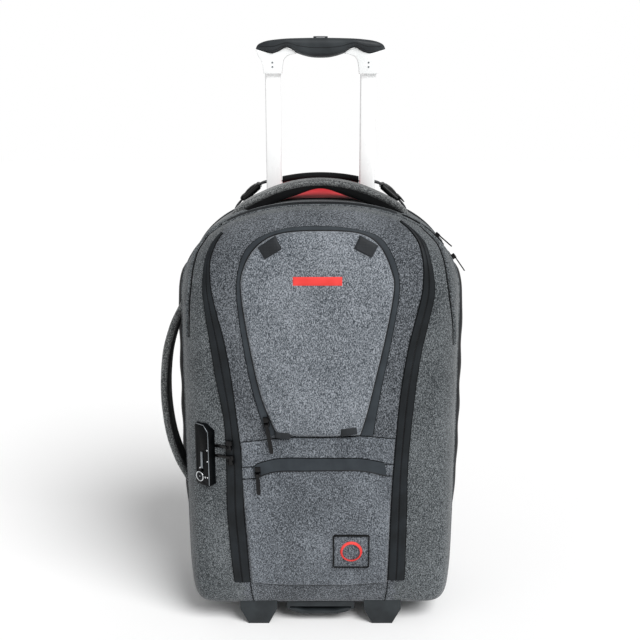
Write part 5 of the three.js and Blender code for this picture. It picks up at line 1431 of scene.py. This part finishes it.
def build_lock(settings):
    """The lock's case, its key and its latch."""
    m = MATERIALS
    from_frame("lock_housing", m["lock_case"], settings.lock_rounding)
    from_frame("lock_cylinder", m["gunmetal"], 0.3, "key_body")
    from_frame("lock_latch", m["latch"], 0.4, "latch_body")
    low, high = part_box("lock_cylinder")
    key = ((low + high) / 2 - ORIGIN) / MM
    out = Vector((-math.sin(LOCK_TURN), -math.cos(LOCK_TURN), 0))
    right = Vector((math.cos(LOCK_TURN), -math.sin(LOCK_TURN), 0))
    face = key + out * LOCK_KEY["depth"]

    def on_lock(u, v, w):
        """A place on the lock's face: across, up and out from its middle."""
        return face + right * (u - LOCK_KEY["across"]) + Vector((0, 0, v - LOCK_KEY["up"])) + out * w

    # A grey metal line on the top and right edges of the face plate: a painted highlight along the edges that face
    # the light
    edge = [on_lock(u, v, 0.1) for u, v in LOCK_EDGE]
    piece("lock_edge_highlight", tube(edge, 0.55, 8), m["latch"], smooth=80)
    ring = [on_lock(LOCK_KEY["across"] + 5.6 * math.cos(a), LOCK_KEY["up"] + 5.6 * math.sin(a), 0.4)
            for a in [2 * math.pi * i / 40 for i in range(40)]]
    piece("lock_key_ring", tube(ring, 0.8, 10, closed=True), m["nickel"], smooth=80)
    # A bright nickel dot on the key's middle: a painted highlight
    dot = []
    for radius, lift in ((1.5, -0.2), (1.5, 0.3), (0.8, 0.7), (0.0, 0.75)):
        dot.append([on_lock(LOCK_KEY["across"] + radius * math.cos(a), LOCK_KEY["up"] + radius * math.sin(a), lift)
                    for a in [2 * math.pi * i / 16 for i in range(16)]])
    piece("lock_key_centre_highlight", loft(dot, close_columns=True), m["nickel"], "key_body", smooth=50)
    # Bright nickel dots on the face: painted highlights for the small lights that the dark face does not catch
    highlight_rings = []
    for u, v, radius in LOCK_HIGHLIGHT_DOTS:
        for lift, share in ((-0.3, 1.0), (0.5, 1.0), (0.9, 0.6)):
            highlight_rings.append([on_lock(u + radius * share * math.cos(a), v + radius * share * math.sin(a), lift)
                         for a in [2 * math.pi * i / 14 for i in range(14)]])
    parts = []
    for i in range(0, len(highlight_rings), 3):
        points, faces = loft(highlight_rings[i : i + 3], close_columns=True)
        faces.append(tuple(range(28, 42)))
        parts.append((points, faces))
    piece("lock_highlight_dots", merged(parts), m["nickel"], smooth=50)


SLIDERS = ("main_upper", "main_lower", "front_pocket", "lower_pocket", "rear_upper", "rear_lower")
PULLS = {
    "front_pocket": "front_pull_body",
    "lower_pocket": "lower_pull_body",
    "rear_upper": "rear_upper_pull_body",
    "rear_lower": "rear_lower_pull_body",
}


def build_sliders(settings):
    """The zip sliders and their pulls."""
    m = MATERIALS
    for name in SLIDERS:
        from_frame(f"{name}_slider", m["black_metal"], settings.metal_rounding)
    for name, body in PULLS.items():
        from_frame(f"{name}_pull", m["black_metal"], settings.metal_rounding, body)


# The trolley handle


RIVET_HEIGHTS = (669.0, 674.0)


def build_trolley(settings):
    """The tubes of the trolley handle and the sockets under the grip."""
    m = MATERIALS
    for word in ("left", "right"):
        from_frame(f"guide_tube_{word}", m["black_plastic"], 0.5)
        from_frame(f"mid_tube_{word}", m["plain_tube"], 0.15, "mid_stage")
        from_frame(f"grip_tube_{word}", m["white_tube"], 0.15, "grip_stage")
        from_frame(f"grip_socket_{word}", m["white_plastic"], 0.8, "grip_stage", segments=3)
        side = -1 if word == "left" else 1
        # Two press rivets hold each socket to its tube.
        for k, height in enumerate(RIVET_HEIGHTS):
            ring = []
            for lift, radius in ((0.0, 1.1), (0.35, 1.0), (0.5, 0.6), (0.52, 0.0)):
                ring.append([
                    Vector((side * TUBE_X + radius * math.cos(a), TUBE_Y - 9.3 - lift,
                            height + radius * math.sin(a)))
                    for a in [2 * math.pi * i / 16 for i in range(16)]
                ])
            piece(f"socket_rivet_{word}_{k}", loft(ring, close_columns=True), m["latch"], "grip_stage",
                  smooth=50)
    from_frame("grip_button", m["grip"], 0.7, "push_button")
    # A bright nickel plate over the button's top and front edge: a painted highlight
    low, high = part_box("grip_button")
    cap = ((low + high) / 2 - ORIGIN) / MM
    top = (high.z - ORIGIN.z) / MM
    rows = [[Vector((cap.x + x, cap.y + y, top + z)) for x in (-5.2, 0, 5.2)]
            for y, z in ((-5.1, -2.2), (-5.15, -0.8), (-4.3, 0.12), (3.4, 0.12))]
    piece("grip_button_highlight", loft(rows), m["nickel"], "push_button", smooth=40)
    build_grip(settings)


# Half of the grip seen from the front: shares out from its middle and down from its top
GRIP_UPPER = ((1, 0.54), (0.96, 0.33), (0.857, 0.18), (0.714, 0.095), (0.455, 0.03), (0, 0))
GRIP_LOWER = (
    (1, 0.57), (0.753, 0.79), (0.65, 0.68), (0.532, 0.49), (0.43, 0.61), (0.35, 0.79), (0.17, 0.96), (0, 1),
)


def build_grip(settings):
    """The arched grip: soft-touch moulding, thick in the middle, drawn out to both ends."""
    m = MATERIALS
    half, top, tall, depth = 77.0, 702.5, 23.0, 27.0
    over = [(out * half, top - down * tall) for out, down in GRIP_UPPER]
    under = [(out * half, top - down * tall) for out, down in GRIP_LOWER]
    over = [(-x, z) for x, z in over] + [(x, z) for x, z in reversed(over[:-1])]
    under = [(-x, z) for x, z in under] + [(x, z) for x, z in reversed(under[:-1])]
    low_line = curve([Vector(p) for p in under], 400)
    high_line = curve([Vector(p) for p in over], 400)

    def height(line, x):
        for a, b in zip(line, line[1:]):
            if a.x <= x <= b.x and b.x > a.x:
                return a.y + (b.y - a.y) * (x - a.x) / (b.x - a.x)
        return line[0].y if x < 0 else line[-1].y

    rings = []
    stations, sides = 96, 28
    for i in range(stations + 1):
        t = -math.cos(math.pi * i / stations)
        x = t * (half - 0.2)
        lo, hi = height(low_line, x), height(high_line, x)
        wide = max(0.8, depth / 2 * (1 - abs(t) ** 7) ** 0.5)
        middle, span = (lo + hi) / 2, max(0.6, (hi - lo) / 2)
        ring = []
        for k in range(sides):
            angle = 2 * math.pi * k / sides
            c, s = math.cos(angle), math.sin(angle)
            ring.append(Vector((x, TUBE_Y + math.copysign(abs(c) ** 0.6, c) * wide,
                                middle + math.copysign(abs(s) ** 0.72, s) * span)))
        rings.append(ring)
    points, faces = loft(rings, close_columns=True)
    faces.append(tuple(reversed(range(sides))))
    faces.append(tuple(range(len(points) - sides, len(points))))
    grip = piece("handle_grip_moulding", (points, faces), m["grip"], "grip_stage",
                 stands_for=("handle_grip",), smooth=50)
    box = [Vector((x, y, z)) for x in (-9.1, 9.1) for y in (TUBE_Y - 5.6, TUBE_Y + 5.6) for z in (689.5, 712)]
    order = [(0, 1, 3, 2), (4, 6, 7, 5), (0, 4, 5, 1), (2, 3, 7, 6), (0, 2, 6, 4), (1, 5, 7, 3)]
    cutter_mesh = bpy.data.meshes.new("button_recess")
    cutter_mesh.from_pydata([in_frame(p) for p in box], [], order)
    cutter = bpy.data.objects.new("button_recess", cutter_mesh)
    bpy.context.scene.collection.objects.link(cutter)
    recess = grip.modifiers.new("recess", "BOOLEAN")
    recess.operation = "DIFFERENCE"
    recess.object = cutter
    recess.solver = "EXACT"
    apply_modifiers(grip)
    shade(grip.data, 45)
    bpy.data.objects.remove(cutter)
    # The parting line between the grip's upper and lower shells
    for k, y in enumerate((-1, 1)):
        line = []
        for i in range(61):
            x = -half * 0.93 + 2 * half * 0.93 * i / 60
            lo, hi = height(low_line, x), height(high_line, x)
            wide = depth / 2 * (1 - abs(x / half) ** 7) ** 0.5
            line.append(Vector((x, TUBE_Y + y * (wide - 0.1), lo + (hi - lo) * 0.5)))
        piece(f"grip_parting_line_{k}", tube(line, 0.35, 6), m["coil"], "grip_stage",
              smooth=80)


# Wheels, feet and base


def lathe(section, centre, steps):
    """A ring shape from a section of (distance along x, radius), closed on itself."""
    rings = []
    for i in range(steps):
        angle = 2 * math.pi * i / steps
        rings.append([centre + Vector((a, r * math.cos(angle), r * math.sin(angle))) for a, r in section])
    return loft(rings, close_rows=True, close_columns=True)


def build_rolling(settings):
    """What the bag rolls and stands on."""
    m = MATERIALS
    for word, side in (("left", -1), ("right", 1)):
        from_frame(f"wheel_housing_{word}", m["black_plastic"], 0.8)
        from_frame(f"foot_{word}", m["foot"], 0.8)
        body = f"wheel_{word}_body"
        centre = Vector((side * 120, 58, 31))
        tyre = [(-10, 20), (-11.4, 24), (-10.5, 29.2), (-8, 30.7), (-6.2, 31), (-5.8, 30.2),
                (-5.2, 30.2), (-4.8, 31),
                (-0.5, 31), (-0.3, 30.2), (0.3, 30.2), (0.5, 31), (4.8, 31), (5.2, 30.2), (5.8, 30.2), (6.2, 31),
                (8, 30.7), (10.5, 29.2), (11.4, 24), (10, 20)]
        piece(f"tyre_{word}", lathe(tyre, centre, 64), m["tyre"], body,
              stands_for=(f"wheel_{word}",), smooth=40)
        hub = [(-11.6, 3.5), (-11.6, 8), (-10.4, 9), (-7.5, 12), (-7.5, 16), (-9.8, 18.4), (-9.8, 20.3),
               (9.8, 20.3), (9.8, 18.4), (7.5, 16), (7.5, 12), (10.4, 9), (11.6, 8), (11.6, 3.5)]
        parts = [lathe(hub, centre, 64)]
        for i in range(settings.spokes):
            angle = 2 * math.pi * i / settings.spokes
            radial = Vector((0, math.cos(angle), math.sin(angle)))
            for face in (-1, 1):
                start = centre + Vector((face * 8.4, 0, 0))
                parts.append(tube([start + radial * r for r in (8.5, 12, 15.5, 18.6)], 1.7, 8))
        piece(f"wheel_hub_{word}", merged(parts), m["hub"], body, smooth=40)
    from_frame("base_plate", m["black_plastic"], 0.6)
    from_frame("bottom_handle", m["foot"], 0.9)


# The add-on


class BackpackColours(bpy.types.PropertyGroup):
    stage: FloatVectorProperty(
        name="Stage", description="Colour of the floor and backdrop", subtype="COLOR",
        default=linear("#fcfcfc"), min=0, max=1)


class BackpackSizes(bpy.types.PropertyGroup):
    wall_bulge: FloatProperty(
        name="Wall swell", description="How far the ring wall swells between its seams, in millimetres",
        default=1.6, min=0, max=4)
    piping_radius: FloatProperty(
        name="Piping radius", description="Radius of the cord in the two seams, in millimetres",
        default=1.5, min=0.5, max=3)
    panel_height: FloatProperty(
        name="Front pocket height", description="How far the front pocket stands off the shell, in millimetres",
        default=PANEL_HEIGHT, min=2, max=8)
    tooth_pitch: FloatProperty(
        name="Tooth pitch", description="Distance between zip teeth, in millimetres", default=1.9, min=1, max=4)
    stitch_pitch: FloatProperty(
        name="Stitch pitch", description="Distance between stitches, in millimetres", default=3.4, min=1.5, max=6)
    pad_pressure: FloatProperty(
        name="Pad pressure", description="Pressure that fills the padded pieces in the cloth simulation",
        default=4.0, min=0, max=10)
    lock_rounding: FloatProperty(
        name="Lock edge rounding", description="Edge radius of the lock's case, in millimetres",
        default=1.5, min=0.1, max=2)
    metal_rounding: FloatProperty(
        name="Slider edge rounding", description="Edge radius of the cast sliders, in millimetres",
        default=0.35, min=0.05, max=1)
    spokes: IntProperty(name="Spokes", description="Ribs on each face of a wheel hub", default=6, min=3, max=12)


def operator(identifier, label, text, build):
    """The parts that every builder's operator shares."""

    def execute(self, context):
        build(context.scene.backpack_sizes)
        return {"FINISHED"}

    return type(
        "BACKPACK_OT_" + identifier,
        (bpy.types.Operator,),
        {"bl_idname": "backpack." + identifier, "bl_label": label, "__doc__": text, "execute": execute},
    )


CAMERA_PLACE = (0.0, -1122.5, 667.0)
CAMERA_PITCH = 15.0
CAMERA_LENS = 52.76
CAMERA_SHIFT = -0.0008


def build_stage(colours):
    """The stage that the bag is shown on."""
    scene = bpy.context.scene
    camera_data = bpy.data.cameras.new("camera")
    camera_data.lens = CAMERA_LENS
    camera_data.sensor_width = 36
    camera_data.shift_x = CAMERA_SHIFT
    camera_data.clip_start = 0.05
    camera = bpy.data.objects.new("camera", camera_data)
    camera.location = in_frame(CAMERA_PLACE)
    camera.rotation_euler = (math.radians(90 - CAMERA_PITCH), 0, 0)
    scene.collection.objects.link(camera)
    scene.camera = camera

    lights = (
        ("key", "SUN", (0.75, -0.9, 1.6), 34.0, 2.75),
        ("fill", "AREA", (-1.6, -1.4, 0.9), 1.2, 3.0),
    )
    for name, kind, place, size, power in lights:
        data = bpy.data.lights.new(name, kind)
        data.energy = power
        if kind == "SUN":
            data.angle = math.radians(size)
        else:
            data.shape = "SQUARE"
            data.size = size
        lamp = bpy.data.objects.new(name, data)
        lamp.location = place
        aim = Vector((0, 0, 0.3)) - Vector(place)
        lamp.rotation_euler = aim.to_track_quat("-Z", "Y").to_euler()
        scene.collection.objects.link(lamp)

    # White all round: full white to the eye, dimmer as a light, so that the lamps still shape the cloth
    world = bpy.data.worlds.new("studio")
    world.use_nodes = True
    tree = world.node_tree
    tree.nodes.clear()
    soft = add_node(tree, "Background", {"Strength": 0.42})
    seen = add_node(tree, "Background", {"Strength": 1.0})
    for light in (soft, seen):
        light.inputs["Color"].default_value = (1, 1, 1, 1)
    ray = add_node(tree, "LightPath").outputs["Is Camera Ray"]
    both = add_node(tree, "MixShader", links={0: ray, 1: soft.outputs[0], 2: seen.outputs[0]})
    add_node(tree, "OutputWorld", links={"Surface": both.outputs[0]})
    scene.world = world
    scene.view_settings.view_transform = "Standard"

    # Studio paper: pale, matt, faintly uneven
    material, tree, shader, coordinates = new_material("paper_white_matt", {"Roughness": 0.95})
    cloud = thread_noise(tree, coordinates, (300, 300, 300))
    ramp = add_node(tree, "ValToRGB", links={"Fac": cloud})
    ramp.color_ramp.elements[0].color = (*[c * 0.98 for c in colours.stage], 1)
    ramp.color_ramp.elements[1].color = (*colours.stage, 1)
    tree.links.new(ramp.outputs["Color"], shader.inputs["Base Color"])
    mesh = bpy.data.meshes.new("floor")
    reach = 6.0
    corners = [(-reach, -reach, 0), (reach, -reach, 0), (reach, reach, 0), (-reach, reach, 0)]
    mesh.from_pydata(corners, [], [(0, 1, 2, 3)])
    floor = bpy.data.objects.new("floor", mesh)
    mesh.materials.append(material)
    scene.collection.objects.link(floor)


class BACKPACK_OT_stage(bpy.types.Operator):
    """Sets the camera, the studio light and the pale floor"""

    bl_idname = "backpack.stage"
    bl_label = "Stage"

    def execute(self, context):
        build_stage(context.scene.backpack_colours)
        return {"FINISHED"}


class BACKPACK_OT_materials(bpy.types.Operator):
    """Makes every cloth, plastic and metal finish"""

    bl_idname = "backpack.materials"
    bl_label = "Materials"

    def execute(self, context):
        make_materials()
        return {"FINISHED"}


BUILDERS = (
    operator("body", "Body", "Builds the swollen front, back and ring wall of the bag", build_body),
    operator("panels", "Front panels", "Builds the front pocket and the lower pocket", build_panels),
    operator("zips", "Zips", "Builds the zip tapes, their coils and stitches", build_zips),
    operator("badges", "Loops and patch", "Builds the webbing loops, the patch and the stitched bar", build_badges),
    operator("handles", "Carrying handles", "Builds the two padded carrying handles", build_handles),
    operator("side_pockets", "Side pockets", "Builds the two black side pockets", build_side_pockets),
    operator("harness", "Harness", "Builds the back pad, straps, yoke and load lifters", build_harness),
    operator("lock", "Lock", "Rounds the lock's case, cylinder and latch", build_lock),
    operator("sliders", "Sliders", "Rounds the sliders and their pulls", build_sliders),
    operator("trolley", "Trolley handle", "Builds the tubes, sockets and grip", build_trolley),
    operator("rolling", "Wheels and feet", "Builds the wheels, housings, feet and base", build_rolling),
)


class BACKPACK_PT_panel(bpy.types.Panel):
    """Lists the builders of the wheeled backpack"""

    bl_idname = "BACKPACK_PT_panel"
    bl_label = "Wheeled backpack"
    bl_space_type = "VIEW_3D"
    bl_region_type = "UI"
    bl_category = "Backpack"

    def draw(self, context):
        layout = self.layout
        for group in (context.scene.backpack_sizes, context.scene.backpack_colours):
            for name in group.__annotations__:
                layout.prop(group, name)
        layout.operator(BACKPACK_OT_materials.bl_idname)
        for builder in BUILDERS:
            layout.operator(builder.bl_idname)
        layout.operator(BACKPACK_OT_stage.bl_idname)


CLASSES = (
    BackpackSizes, BackpackColours, BACKPACK_OT_stage, BACKPACK_OT_materials, *BUILDERS, BACKPACK_PT_panel,
)


def register():
    for entry in CLASSES:
        bpy.utils.register_class(entry)
    bpy.types.Scene.backpack_sizes = PointerProperty(type=BackpackSizes)
    bpy.types.Scene.backpack_colours = PointerProperty(type=BackpackColours)


def unregister():
    del bpy.types.Scene.backpack_colours
    del bpy.types.Scene.backpack_sizes
    for entry in reversed(CLASSES):
        bpy.utils.unregister_class(entry)


def main():
    """Builds the bag and its stage, and writes its size."""
    register()
    bpy.ops.backpack.stage()
    bpy.ops.backpack.materials()
    for builder in BUILDERS:
        group, name = builder.bl_idname.split(".")
        getattr(getattr(bpy.ops, group), name)()


if __name__ == "__main__":
    main()
